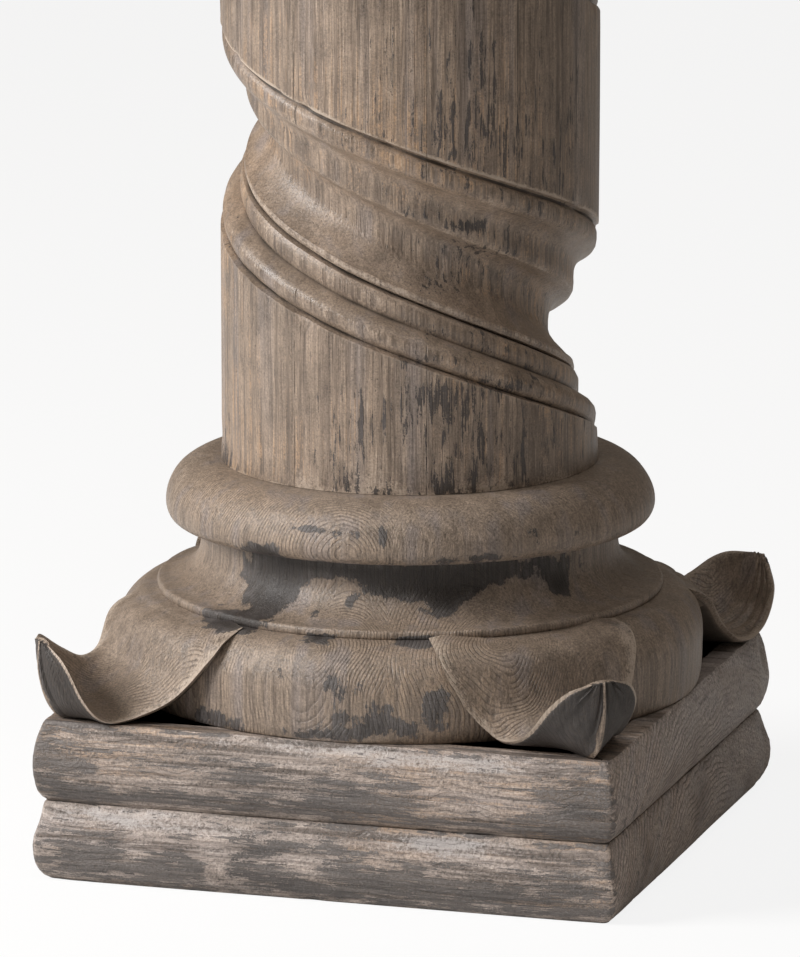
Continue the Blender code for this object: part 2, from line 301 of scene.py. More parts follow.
@dataclass(frozen=True)
class WoodFinish:
    """Old stained timber with remnants of paint."""

    name: str
    grain: Grain
    light: Colour = (0.290, 0.225, 0.172)
    middle: Colour = (0.185, 0.140, 0.105)
    dark: Colour = (0.070, 0.053, 0.043)
    warm: Colour = (0.320, 0.208, 0.125)
    mauve: Colour = (0.190, 0.165, 0.160)
    worn: Colour = (0.420, 0.345, 0.280)
    # Dark colour of pits and joints, and of hollows and creases as dirt with painted shade
    dirt_and_shade: Colour = (0.038, 0.029, 0.022)
    # Pale colour of chalky wear with a painted highlight along the slabs' upper front edges
    chalk_and_highlight: Colour | None = None
    slate: Colour = (0.015, 0.013, 0.013)
    slate_pale: Colour = (0.080, 0.074, 0.074)
    streak_show: float = 1.0
    line_show: float = 0.8
    ring_show: float = 0.30
    ring_gap: float = 0.0021
    end_rings: float = 0.0
    paint_share: float = 0.10
    ragged: tuple[float, float, float] = (1.0, 1.0, 1.0)
    ragged_pace: float = 60.0
    fibrous: float = 0.5
    frayed: float = 0.3
    worn_through: float = 0.15
    grit_pace: float = 650.0
    grit_show: float = 1.0
    fibre_show: float = 1.9
    end_calm: float = 0.70
    roughness: float = 0.42
    grit_rise: float = 0.14
    fibre_pace: float = 700.0
    board_width: float = 0.125
    joints: tuple[float, ...] = ()
    pith: tuple[float, float] = (0.06, -0.22)
    bump: float = 1.0
    gloss: float = 0.5

    def grain_place(self, bench: Bench, place: Field) -> Field:
        """Find the place in the grain.

        Args:
            bench: makes the nodes.
            place: object coordinates.

        Returns:
            Coordinates that change slowly along the fibres, and bend round a slab's pith.
        """
        pushed = bench.warped(place, 5.0, 0.004)
        if self.grain is Grain.UPRIGHT:
            return bench.stretched(pushed, (1.0, 1.0, 0.03))
        x, y, z = bench.parts(pushed)
        across, depth = y - self.pith[0], z - self.pith[1]
        distance = (across * across + depth * depth) ** 0.5
        turn = depth.angle(across)
        return bench.joined(x * 0.03, distance, turn * 0.03)

    def clouds(self, bench: Bench) -> Clouds:
        """Make the noises, with the fibres calmed where they end on the surface.

        Args:
            bench: makes the nodes.

        Returns:
            The noises.
        """
        place = bench.position()
        grain = self.grain_place(bench, place)
        sidelong = bench.step(bench.attribute("end"), 0.62, 0.18)
        calm = sidelong * self.end_calm + (1.0 - self.end_calm)
        second, third = (bench.stretched(grain, (1, 1, 1), shift) for shift in (3.1, 7.7))
        fibre = bench.cloud(grain, self.fibre_pace, 3.0, 0.70)
        streak = bench.cloud(second, self.fibre_pace * 0.36, 3.0, 0.65)
        grit = bench.cloud(place, self.grit_pace, 3.0, 0.8)
        return Clouds(
            place=place,
            grain=grain,
            fibre=(fibre - 0.5) * calm + 0.5,
            streak=(streak - 0.5) * calm + 0.5,
            band=bench.cloud(third, self.fibre_pace * 0.09, 2.0),
            broad=bench.cloud(place, BROAD_PACE, 3.0),
            mottle=bench.cloud(place, MOTTLE_PACE, 4.0, 0.65),
            grit=grit,
            torn=bench.cloud(bench.stretched(place, self.ragged), self.ragged_pace, 5.0, 0.65),
            sand=(grit - 0.5) * self.grit_show,
            sidelong=sidelong,
        )

    def rings(self, bench: Bench, clouds: Clouds) -> Field:
        """Draw the growth rings as broken lines.

        Args:
            bench: makes the nodes.
            clouds: the noises.

        Returns:
            The lines, 1 in a line's darkest part.
        """
        place = clouds.place
        if self.grain is Grain.ALONG_FRONT:
            distance = bench.parts(clouds.grain)[1]
        else:
            x, y, z = bench.parts(bench.warped(place, 11.0, 0.040))
            along = x * 0.93 + y * 0.37
            board = ((along + 3.0) / self.board_width).floor()
            across = along + 3.0 - (board + 0.5) * self.board_width
            chance = bench.node("ShaderNodeTexWhiteNoise", {"noise_dimensions": "1D"}, {"W": board})
            across = across + (chance - 0.5) * 0.05
            depth = y * 0.93 - x * 0.37 + 0.10 + chance * 0.05 + z * 0.25
            distance = (across * across + depth * depth) ** 0.5
        uneven = bench.cloud(place, 22.0, 2.0) * 5.0
        turn = (distance / self.ring_gap + uneven).fraction()
        lines = bench.step(turn, 0.45, 0.90) * bench.step(turn, 1.0, 0.90)
        return lines * bench.step(clouds.mottle, 0.36, 0.54) * bench.step(clouds.broad, 0.34, 0.54)

    def staves(self, bench: Bench, place: Field) -> tuple[Field, Field]:
        """The joints between glued staves.

        Args:
            bench: makes the nodes.
            place: object coordinates.

        Returns:
            The joint's line, and each stave's own tone from 0 to 1.
        """
        x, y, _ = bench.parts(place)
        turn = y.angle(x) * (180.0 / math.pi)
        nearest = abs(turn - self.joints[0])
        stave = turn.above(self.joints[0])
        for joint in self.joints[1:]:
            nearest = nearest.smallest(abs(turn - joint))
            stave = stave + turn.above(joint)
        tone = bench.node("ShaderNodeTexWhiteNoise", {"noise_dimensions": "1D"}, {"W": stave})
        outer = bench.step((x * x + y * y) ** 0.5, 0.1215, 0.1255)
        return bench.step(nearest, 0.28, 0.06) * outer, tone

    def thin_lines(self, bench: Bench, clouds: Clouds) -> tuple[Field, Field]:
        """Draw what is thin and long.

        Args:
            bench: makes the nodes.
            clouds: the noises.

        Returns:
            The shares of dark cracks and of pale fibres.
        """
        upright = self.grain is Grain.UPRIGHT
        along = bench.stretched(clouds.grain, (1, 1, 0.4) if upright else (0.4, 1, 1))
        crack = abs(bench.cloud(along, CRACK_PACE, 1.0) - 0.5)
        pale = abs(bench.cloud(bench.stretched(along, (1, 1, 1), 5.3), PALE_LINE_PACE, 1.0) - 0.5)
        broken = clouds.torn * 0.4 + clouds.mottle * 0.3 + clouds.grit * 0.3
        dark_line = bench.step(crack, 0.060, 0.012) * bench.step(broken, 0.46, 0.54)
        dark_line = dark_line * clouds.sidelong * (self.line_show * 0.8)
        sparse = bench.step(clouds.grit * 0.5 + clouds.mottle * 0.5, 0.45, 0.55) * clouds.sidelong
        here = bench.step(clouds.broad, 0.42, 0.60, self.line_show)
        return dark_line, bench.step(pale, 0.050, 0.010) * sparse * here

    def stained(
        self, bench: Bench, clouds: Clouds, dark_line: Field, pale_line: Field, rings: Field
    ) -> Field:
        """The colour of the bare stained wood.

        Args:
            bench: makes the nodes.
            clouds: the noises.
            dark_line: the share of cracks.
            pale_line: the share of pale fibres.
            rings: the lines of the growth rings.

        Returns:
            The colour, before its fine unevenness.
        """
        streak, band, broad = clouds.streak, clouds.band, clouds.broad
        light = bench.step(streak * 0.5 + band * 0.3 + clouds.mottle * 0.2, 0.40, 0.62)
        colour = bench.blend(light, self.middle, self.light)
        colour = bench.blend(bench.step(band, 0.50, 0.72, 0.6), colour, self.mauve)
        dark = bench.step(streak, 0.50, 0.38, 0.9 * self.streak_show)
        colour = bench.blend(dark, colour, self.dark)
        warm = bench.step(broad, 0.48, 0.66) * bench.step(streak, 0.42, 0.62, 0.5)
        colour = bench.blend(warm, colour, self.warm)
        colour = bench.blend(dark_line, colour, self.dark)
        colour = bench.blend(pale_line, colour, self.warm)
        ring_share = (1.0 - clouds.sidelong) * self.end_rings + self.ring_show
        return bench.blend(rings * ring_share, colour, self.dark)

    def rubbed(self, bench: Bench, clouds: Clouds, colour: Field) -> tuple[Field, Field, Field]:
        """Add pale worn edges, hollows darkened by dirt and painted shade, and chalky wear with a
        painted highlight.

        Args:
            bench: makes the nodes.
            clouds: the noises.
            colour: the wood's colour.

        Returns:
            The new colour, and the shares of wear and of dirt with painted shade.
        """
        edge = bench.attribute("edge")
        mottle, grit = clouds.mottle - 0.5, clouds.grit - 0.5
        wear = edge + mottle * 0.70 + (clouds.fibre - 0.5) * 0.4 + grit * 0.6
        wear = bench.step(wear, 0.14, 0.42, 0.8)
        colour = bench.blend(wear, colour, self.worn)
        # Low edge values, in hollows and creases, darken as dirt with painted shade.
        hollow_dirt_and_shade = bench.step(mottle * 0.20 + grit * 0.3 - edge, 0.17, 0.42, 0.92)
        colour = bench.blend(hollow_dirt_and_shade, colour, self.dirt_and_shade)
        # Chalky wear with a painted highlight, pale along the slabs' upper front edges.
        if self.chalk_and_highlight:
            chalk_and_highlight_mask = bench.attribute("chalk_and_highlight") + (clouds.torn + clouds.grit - 1.0) * 1.2
            chalk_and_highlight_mask = chalk_and_highlight_mask + (clouds.streak - 0.5) * 0.6
            colour = bench.blend(bench.step(chalk_and_highlight_mask, 0.30, 0.70, 0.65), colour, self.chalk_and_highlight)
        return colour, wear, hollow_dirt_and_shade

    def painted(
        self, bench: Bench, clouds: Clouds, colour: Field, wear: Field
    ) -> tuple[Field, Field]:
        """Add the remnants of paint.

        Args:
            bench: makes the nodes.
            clouds: the noises.
            colour: the wood's colour.
            wear: the share of wear, which has taken paint away.

        Returns:
            The new colour and the share of paint.
        """
        blot = bench.attribute("paint")
        fibre, grit = clouds.fibre, clouds.grit
        cover = blot + (clouds.torn - 0.5) * 1.6 + (clouds.broad - 0.5) * 0.6
        cover = cover + (fibre + clouds.streak - 1.0) * self.fibrous + (grit - 0.5) * self.frayed
        paint = bench.step(cover - wear * 0.5, 0.53 - self.paint_share, 0.61 - self.paint_share)
        grains = bench.step(grit * 0.5 + fibre * 0.5, 0.52, 0.42, self.worn_through)
        paint = paint * (0.95 - grains)
        shade = clouds.broad * 0.3 + clouds.streak * 0.4 + clouds.torn * 0.3
        thin_coat = bench.step(shade, 0.42, 0.60) * (1.0 - bench.step(blot, 0.55, 0.95))
        slate = bench.blend(thin_coat, self.slate, self.slate_pale)
        slate = bench.scaled(slate, clouds.sand * 1.6 + (fibre - 0.5) * 2.2 + 1.0)
        return bench.blend(paint, colour, slate), paint

    def made(self) -> bpy.types.Material:
        """Build the material.

        Returns:
            The material.
        """
        bench = Bench(self.name)
        clouds = self.clouds(bench)
        fibre, mottle = clouds.fibre - 0.5, clouds.mottle - 0.5
        dark_line, pale_line = self.thin_lines(bench, clouds)
        rings = self.rings(bench, clouds) if self.ring_show else dark_line * 0.0
        colour = self.stained(bench, clouds, dark_line, pale_line, rings)
        even = fibre * self.fibre_show + mottle * 0.9 + clouds.sand * (1.4 - clouds.sidelong * 0.4)
        even = even + (clouds.broad - 0.5) * 0.5 + 1.0
        pit = bench.step(bench.cloud(clouds.place, PIT_PACE, 2.0, 0.7), 0.36, 0.28)
        gap = pit * bench.step(clouds.mottle, 0.50, 0.62, 0.5)
        if self.joints:
            joint, stave = self.staves(bench, clouds.place)
            even = even * (0.88 + stave * 0.24)
            gap = gap.largest(joint * bench.step(clouds.mottle, 0.36, 0.56, 0.7))
        colour, wear, hollow_dirt_and_shade = self.rubbed(bench, clouds, bench.scaled(colour, even))
        colour, paint = self.painted(bench, clouds, colour, wear)
        colour = bench.blend(gap, colour, self.dirt_and_shade)
        rough = self.roughness + fibre * 0.3 + mottle * 0.3 + hollow_dirt_and_shade * 0.2 + paint * 0.12
        height = clouds.fibre * 0.50 + clouds.streak * 0.40 + clouds.mottle * 0.12
        height = height + clouds.grit * self.grit_rise - rings * 0.25
        height = height - dark_line * 0.15 - gap * 0.5 + paint * 0.10
        bumped = bench.node(
            "ShaderNodeBump",
            None,
            {"Strength": self.bump, "Distance": RELIEF_DEPTH, "Height": height},
        )
        bench.close(colour, rough, bumped, self.gloss)
        return bench.material


# Mesh helpers


@dataclass(frozen=True)
class Patch:
    """A soft blot of paint, or of bare wood where the amount is negative, on a round piece."""

    azimuth: float
    height: float
    half_arc: float
    half_height: float
    amount: float

    def over(self, points: np.ndarray) -> np.ndarray:
        """Measure the blot.

        Args:
            points: positions, one a row.

        Returns:
            The blot's amount at each.
        """
        radius = np.hypot(points[:, 0], points[:, 1])
        angle = np.arctan2(points[:, 1], points[:, 0]) - math.radians(self.azimuth)
        arc = (np.mod(angle + math.pi, 2 * math.pi) - math.pi) * radius / self.half_arc
        rise = (points[:, 2] - self.height) / self.half_height
        return self.amount * np.exp(-((arc**4 + rise**4) ** 0.5))


@dataclass(frozen=True)
class FacePatch:
    """A soft blot on a slab's front, by its place across and up."""

    across: float
    height: float
    half_across: float
    half_height: float
    amount: float

    def over(self, points: np.ndarray) -> np.ndarray:
        """Measure the blot.

        Args:
            points: positions, one a row.

        Returns:
            The blot's amount at each.
        """
        side = (points[:, 0] - self.across) / self.half_across
        rise = (points[:, 2] - self.height) / self.half_height
        front = np.clip(-points[:, 1] / 0.15, 0.0, 1.0) ** 4
        return self.amount * front * np.exp(-((side**4 + rise**4) ** 0.5))


def noise_at(points: np.ndarray, pace: float | Sequence[float], seed: float = 0.0) -> np.ndarray:
    """Smooth noise, about -1 to 1, at a pace in cells a metre for all axes or each."""
    return np.array([noise.noise(spot) for spot in (points * np.asarray(pace) + seed).tolist()])


def ease(values: np.ndarray, low: float, high: float) -> np.ndarray:
    """A soft step from 0 at low to 1 at high."""
    share = np.clip((values - low) / (high - low), 0.0, 1.0)
    return share * share * (3 - 2 * share)


def bell(away: np.ndarray, width: float) -> np.ndarray:
    """A bell curve, 1 where away is 0."""
    return np.exp(-((away / width) ** 2))


def points_of(mesh: bpy.types.Mesh) -> np.ndarray:
    """Read where the points of a mesh are.

    Args:
        mesh: the mesh.

    Returns:
        The positions, one a row.
    """
    flat = np.empty(len(mesh.vertices) * 3)
    mesh.vertices.foreach_get("co", flat)
    return flat.reshape(-1, 3)


def normals_of(mesh: bpy.types.Mesh) -> np.ndarray:
    """Read which way the points of a mesh face.

    Args:
        mesh: the mesh.

    Returns:
        The normals, one a row.
    """
    flat = np.empty(len(mesh.vertices) * 3)
    mesh.vertices.foreach_get("normal", flat)
    return flat.reshape(-1, 3)


def place_points(mesh: bpy.types.Mesh, points: np.ndarray) -> None:
    """Move a mesh's points."""
    mesh.vertices.foreach_set("co", points.astype(np.float32).ravel())
    mesh.update()


def keep(mesh: bpy.types.Mesh, name: str, values: np.ndarray) -> None:
    """Keep a number at each point of a mesh, for its material."""
    stored = mesh.attributes.get(name) or mesh.attributes.new(name, "FLOAT", "POINT")
    stored.data.foreach_set("value", values.astype(np.float32))


def kept(mesh: bpy.types.Mesh, name: str) -> np.ndarray:
    """Read the numbers kept at the points of a mesh.

    Args:
        mesh: the mesh.
        name: what they are kept as.

    Returns:
        The numbers, or zeros where there are none.
    """
    values = np.zeros(len(mesh.vertices), np.float32)
    stored = mesh.attributes.get(name)
    if stored:
        stored.data.foreach_get("value", values)
    return values.astype(float)


def convexity(mesh: bpy.types.Mesh, rounds: int = 2) -> np.ndarray:
    """How far each point stands out of its neighbours, as a share of their distance.

    Args:
        mesh: the mesh.
        rounds: how often the result is smoothed over the neighbours.

    Returns:
        Above 0 on edges, and below 0 in hollows.
    """
    points = points_of(mesh)
    pairs = np.empty(len(mesh.edges) * 2, np.int64)
    mesh.edges.foreach_get("vertices", pairs)
    first, second = pairs.reshape(-1, 2).T
    normals = normals_of(mesh)
    step = points[second] - points[first]
    length = np.maximum(np.linalg.norm(step, axis=1), WELD)
    slope_first = (step * normals[first]).sum(1) / length
    slope_second = -(step * normals[second]).sum(1) / length
    count = np.bincount(first, minlength=len(points)) + np.bincount(second, minlength=len(points))
    count = np.maximum(count, 1)
    total = np.bincount(first, slope_first, len(points))
    total += np.bincount(second, slope_second, len(points))
    result = -total / count
    for _ in range(rounds):
        spread = np.bincount(first, result[second], len(points))
        spread += np.bincount(second, result[first], len(points))
        result = 0.5 * result + 0.5 * spread / count
    return result


def spline(knots: Knots, at: float) -> list[float]:
    """Read a smooth curve.

    Args:
        knots: rows of a parameter and the values there.
        at: the parameter.

    Returns:
        The values.
    """
    last = len(knots) - 2
    i = max(k for k in range(last + 1) if k == 0 or knots[k][0] <= at)
    before, left, right, after = (knots[min(max(i + k, 0), last + 1)] for k in (-1, 0, 1, 2))
    span = right[0] - left[0]
    t = (at - left[0]) / span
    values = []
    for b, l, r, a in zip(before[1:], left[1:], right[1:], after[1:]):
        slope_l = (r - b) / max(right[0] - before[0], WELD) * span
        slope_r = (a - l) / max(after[0] - left[0], WELD) * span
        values.append(
            (2 * t**3 - 3 * t**2 + 1) * l
            + (t**3 - 2 * t**2 + t) * slope_l
            + (3 * t**2 - 2 * t**3) * r
            + (t**3 - t**2) * slope_r
        )
    return values


def arc(
    start: tuple[float, float], end: tuple[float, float], steps: int, height_first: bool = False
) -> list[tuple[float, float]]:
    """Points of a quarter ellipse.

    Args:
        start: the first point, left out of the result.
        end: the last point.
        steps: how many points.
        height_first: leave the start along the height instead of along the radius.

    Returns:
        The points after the start.
    """
    points = []
    for i in range(1, steps + 1):
        angle = math.pi / 2 * i / steps
        along, across = math.sin(angle), 1 - math.cos(angle)
        if height_first:
            along, across = across, along
        points.append(
            (start[0] + (end[0] - start[0]) * along, start[1] + (end[1] - start[1]) * across)
        )
    return points


def straight(
    start: tuple[float, float], end: tuple[float, float], steps: int
) -> list[tuple[float, float]]:
    """Points of a straight line after its start."""
    return [
        (start[0] + (end[0] - start[0]) * i / steps, start[1] + (end[1] - start[1]) * i / steps)
        for i in range(1, steps + 1)
    ]


def turned(bm: bmesh.types.BMesh, outline: list[tuple[float, float]], segments: int) -> None:
    """Spin an outline through a full turn.

    Args:
        bm: takes the shape.
        outline: (radius, height) points, from axis to axis.
        segments: how many steps the turn has.
    """
    verts = [bm.verts.new((radius, 0.0, height)) for radius, height in outline]
    edges = [bm.edges.new(pair) for pair in zip(verts, verts[1:])]
    bmesh.ops.spin(
        bm,
        geom=verts + edges,
        cent=(0, 0, 0),
        axis=(0, 0, 1),
        angle=2 * math.pi,
        steps=segments,
        use_merge=True,
    )
    bmesh.ops.remove_doubles(bm, verts=bm.verts, dist=WELD)


def lofted(bm: bmesh.types.BMesh, rings: list[list[tuple[float, float, float]]]) -> None:
    """Bridge closed rings and cap both ends.

    Args:
        bm: takes the shape.
        rings: the points of each ring, in order.
    """
    loops = []
    for ring in rings:
        verts = [bm.verts.new(point) for point in ring]
        loops.append([bm.edges.new((verts[i - 1], verts[i])) for i in range(len(verts))])
    for lower, upper in zip(loops, loops[1:]):
        bmesh.ops.bridge_loops(bm, edges=lower + upper)
    for loop in (loops[0], loops[-1]):
        bmesh.ops.contextual_create(bm, geom=loop)


def as_piece(name: str, bm: bmesh.types.BMesh) -> bpy.types.Object:
    """Turn a bmesh into an object with outward faces.

    Args:
        name: the object's name.
        bm: the shape, which is used up.

    Returns:
        The object, at the origin.
    """
    bmesh.ops.remove_doubles(bm, verts=bm.verts, dist=WELD)
    bmesh.ops.recalc_face_normals(bm, faces=bm.faces)
    mesh = bpy.data.meshes.new(name)
    bm.to_mesh(mesh)
    bm.free()
    made = bpy.data.objects.new(name, mesh)
    bpy.context.scene.collection.objects.link(made)
    return made


def dress(
    piece: bpy.types.Object,
    finish: WoodFinish,
    patches: Sequence[Patch | FacePatch],
    sharp: float = SHARP_TURN,
) -> None:
    """Give a piece its point values, shading and material.

    Args:
        piece: the piece.
        finish: its wood.
        patches: blots of paint or bare wood.
        sharp: edges that turn by more than this many degrees stay sharp.
    """
    mesh = piece.data
    points = points_of(mesh)
    # Edge value: convexity less the marked dark lines; where low, hollows and creases darken as
    # dirt with painted shade, where high, edges wear pale.
    keep(mesh, "edge", convexity(mesh) - kept(mesh, "soil_and_shade"))
    along = 2 if finish.grain is Grain.UPRIGHT else 0
    keep(mesh, "end", abs(normals_of(mesh)[:, along]))
    paint = kept(mesh, "paint")
    for patch in patches:
        paint += patch.over(points)
    keep(mesh, "paint", paint)
    mesh.shade_smooth()
    mesh.set_sharp_from_angle(angle=math.radians(sharp))
    mesh.materials.clear()
    mesh.materials.append(finish.made())


def stand_for(piece: bpy.types.Object, node: str) -> None:
    """Let a piece ride on the column in the place of a node.

    Args:
        piece: the piece.
        node: the node that it replaces.
    """
    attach(piece, "root")
    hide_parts(node)


# The pieces


@dataclass
class Slab:
    """A square slab with its four edges moulded over their whole height."""

    name: str
    node: str
    slot: str
    finish: WoodFinish
    patches: Sequence[FacePatch] = ()
    chalk_and_highlight: Sequence[FacePatch] = ()
    seed: float = 0.0
    upside_down: bool = False
    side_points: int = 112
    corner_round: float = 0.0040
    bulge: float = 0.0080
    waviness: float = 0.0011
    nick_depth: float = 0.0022
    ripple: float = 0.0005
    corner_wear: float = 0.0006
    corner_chip: float = 0.0040
    bare_ends: float = 0.20
    dirty_ends: float = 0.17
    face_rings: Sequence[float] = (0.30, 0.55, 0.75, 0.88, 0.94)
    edge_line: Knots = field(
        default_factory=lambda: (
            [(0.00, 0.93), (0.03, 0.78), (0.10, 0.60), (0.20, 0.38), (0.32, 0.19), (0.44, 0.06)]
            + [(0.56, 0.00), (0.68, 0.03), (0.79, 0.16), (0.88, 0.38), (0.95, 0.66), (1.00, 1.00)]
        )
    )

    def ring(self, half: float, level: float) -> list[tuple[float, float, float]]:
        """A square ring with round corners.

        Args:
            half: half its width.
            level: its height.

        Returns:
            Its points, counterclockwise.
        """
        round_off = min(self.corner_round, half * 0.5)
        flat = half - round_off
        run = [(flat * (2 * i / self.side_points - 1), -half) for i in range(self.side_points + 1)]
        for i in range(1, 5):
            angle = math.radians(-90 + 90 * i / 5)
            run.append((flat + round_off * math.cos(angle), -flat + round_off * math.sin(angle)))
        points = []
        for quarter in range(4):
            c, s = ((1, 0), (0, 1), (-1, 0), (0, -1))[quarter]
            points += [(x * c - y * s, x * s + y * c, level) for x, y in run]
        return points

    def carve(self, mesh: bpy.types.Mesh, low: Vector, high: Vector) -> None:
        """Make the edges uneven, always inwards, and leave the top and the underside flat.

        Args:
            mesh: the mesh.
            low: the lower corner of the slab's box.
            high: the upper one.
        """
        points = points_of(mesh)
        half = (high.x - low.x) / 2
        outer = np.maximum(abs(points[:, 0]), abs(points[:, 1]))
        near = ease(outer, half - 0.03, half - 0.008)
        share = (high.z - points[:, 2]) / (high.z - low.z)
        stretched = points * (0.35, 0.35, 1.0)
        dent = self.waviness * (0.5 + 0.5 * noise_at(stretched, 16.0, self.seed))
        ripple = noise_at(points, (14.0, 14.0, 120.0), self.seed + 4)
        dent += self.ripple * np.maximum(ripple, 0.0)
        nick = np.maximum(noise_at(points, (55.0, 55.0, 30.0), self.seed + 9) - 0.22, 0.0)
        rim = bell(share, 0.09) + 0.5 * bell(share - 1.0, 0.08)
        dent += self.nick_depth * 2.2 * nick * rim
        corner = np.minimum(abs(points[:, 0]), abs(points[:, 1]))
        at_corner = ease(corner, half - 0.035, half - 0.010)
        chip = np.maximum(noise_at(points, 40.0, self.seed + 13), 0.0)
        dent += at_corner * (self.corner_wear + self.corner_chip * chip)
        direction = points[:, :2] / np.maximum(outer, WELD)[:, None]
        points[:, :2] -= direction * (dent * near)[:, None]
        place_points(mesh, points)

    def mark(self, mesh: bpy.types.Mesh, half: float) -> None:
        """Keep the chalky blots with their painted highlight, and the barer and dirtier ends of the
        grain.

        Args:
            mesh: the mesh.
            half: half the slab's width.
        """
        points = points_of(mesh)
        # Chalky wear with a painted highlight on the upper front edges.
        pale = sum((patch.over(points) for patch in self.chalk_and_highlight), np.zeros(len(points)))
        keep(mesh, "chalk_and_highlight", pale)
        width, depth = abs(points[:, 0]), abs(points[:, 1])
        ends = ease(width - depth, 0.0, 0.008) * ease(width, half - 0.020, half - 0.008)
        keep(mesh, "paint", -self.bare_ends * ends)
        keep(mesh, "soil_and_shade", self.dirty_ends * ends * (1 + noise_at(points, 28.0, self.seed)))

    def build(self) -> bpy.types.Object:
        """Make the slab.

        Returns:
            The piece.
        """
        low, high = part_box(self.node)
        half = (high.x - low.x) / 2
        height = high.z - low.z
        levels = self.edge_line
        if self.upside_down:
            levels = [(1.0 - share, inset) for share, inset in reversed(self.edge_line)]
        fine = []
        for (share_a, inset_a), (share_b, inset_b) in zip(levels, levels[1:]):
            fine += [(share_a, inset_a), ((share_a + share_b) / 2, (inset_a + inset_b) / 2)]
        fine.append(levels[-1])
        rings = [self.ring(half * share, high.z) for share in self.face_rings]
        rings += [self.ring(half - self.bulge * i, high.z - height * s) for s, i in fine]
        rings += [self.ring(half * share, low.z) for share in reversed(self.face_rings)]
        bm = bmesh.new()
        lofted(bm, rings)
        piece = as_piece(self.name, bm)
        self.carve(piece.data, low, high)
        self.mark(piece.data, half)
        dress(piece, self.finish, self.patches)
        stand_for(piece, self.node)
        return piece


@dataclass
class CornerLeaf:
    """One leaf of the base, on a diagonal of the plinth."""

    direction: float
    right_edge: Knots
    left_edge: Knots
    torus_radius: float
    torus_height: float
    floor: float
    reach: float
    fan_grooves: int = 0
    root_run: float = 0.0850
    half_width: float = 0.0730
    thickness: float = 0.0045
    proud: float = 0.0028
    tip_inset: float = 0.0050
    clearance: float = 0.0006
    flute_depth: float = 0.0018
    rim_start: float = 0.86
    belly: float = 0.15
    stations: int = 73
    points_over: int = 41
    points_under: int = 35
    middle_line: Knots = field(
        default_factory=lambda: [
            (0.00, -0.35, 1.00),
            (0.18, -0.07, 0.88),
            (0.36, 0.10, 0.42),
            (0.60, 0.45, 0.14),
            (0.84, 0.76, 0.32),
            (0.94, 0.88, 0.63),
            (1.00, 0.945, 0.87),
        ]
    )
    keel_line: Knots = field(
        default_factory=lambda: [
            (0.00, -0.60, 0.40),
            (0.20, -0.40, 0.00),
            (0.60, 0.40, 0.00),
            (0.78, 0.74, 0.00),
            (0.88, 0.90, 0.20),
            (0.96, 0.99, 0.55),
            (1.00, 0.99, 0.85),
        ]
    )

    def distance(self, share: float) -> float:
        """Distance from the axis for a share of the leaf's run, below 0 inside the torus."""
        run = self.root_run if share < 0 else self.reach - self.torus_radius
        return self.torus_radius + run * share

    def section(self, along: float) -> list[tuple[float, float, float]]:
        """One closed section of the leaf as it points along +X.

        Args:
            along: the share of its length, from root to tip.

        Returns:
            Points over its top, then back under its keel.
        """
        mid_out, mid_up = spline(self.middle_line, along)
        keel_out, keel_up = spline(self.keel_line, along)
        lean = min(max((along - 0.5) / 0.4, 0.0), 1.0)
        thin_up = self.thickness * (1 - 0.7 * lean) / self.torus_height
        thin_out = self.thickness * 0.8 * lean
        right, left = spline(self.right_edge, along), spline(self.left_edge, along)

        def point(side: float, under: bool) -> tuple[float, float, float]:
            """Find a point of the section.

            Args:
                side: its share of the half width, right above 0.
                under: whether it is on the keel side.

            Returns:
                The point.
            """
            edge_out, edge_half, edge_up = right if side > 0 else left
            size = abs(side)
            rim = max((size - self.rim_start) / (1 - self.rim_start), 0.0)
            roll = 1 - math.sqrt(max(1 - rim * rim, 0.0))
            if under:
                bend = size**1.2
                out = keel_out + (edge_out - keel_out) * bend
                up = keel_up + (edge_up - thin_up - keel_up) * bend + thin_up * 0.5 * roll
                push = thin_out * bend - thin_out * 0.5 * roll
                flute = 0.5 + 0.5 * math.cos(side * 34.0 + 5.0 * math.sin(side * 7.0))
                push -= self.flute_depth * flute * lean * (1 - rim) * min(size / 0.15, 1.0)
                squeeze = 1 + self.belly * size
            else:
                bend = size**2
                out = mid_out + (edge_out - mid_out) * bend
                up = mid_up + (edge_up - mid_up) * bend - thin_up * 0.5 * roll
                push = thin_out * 0.5 * roll
                squeeze = 1 + self.belly * roll
                if self.fan_grooves:
                    fan = 0.5 + 0.5 * math.cos(side * math.pi * self.fan_grooves * 1.6)
                    up -= 0.07 * fan**3 * min(along / 0.3, 1.0) * (1 - size**4)
            height = max(up * self.torus_height, self.clearance)
            across = edge_half * self.half_width * side * squeeze
            push += self.proud * min(along / 0.12, 1.0) * min(max((0.75 - along) / 0.3, 0.0), 1.0)
            push -= self.tip_inset * max((along - 0.75) / 0.25, 0.0)
            return (self.distance(out) + push, across, self.floor + height)

        over = [2 * i / (self.points_over - 1) - 1 for i in range(self.points_over)]
        under = [1 - 2 * (i + 1) / (self.points_under + 1) for i in range(self.points_under)]
        return [point(s, False) for s in over] + [point(s, True) for s in under]

    def build(self, name: str) -> bpy.types.Object:
        """Make the leaf as a closed shell for the base to take in.

        Args:
            name: the object's name.

        Returns:
            The shell.
        """
        bm = bmesh.new()
        rings = [self.section(i / (self.stations - 1)) for i in range(self.stations)]
        lofted(bm, rings)
        around = Matrix.Rotation(math.radians(self.direction), 3, "Z")
        bmesh.ops.rotate(bm, verts=bm.verts, cent=(0, 0, 0), matrix=around)
        bmesh.ops.triangulate(bm, faces=bm.faces)
        return as_piece(name, bm)


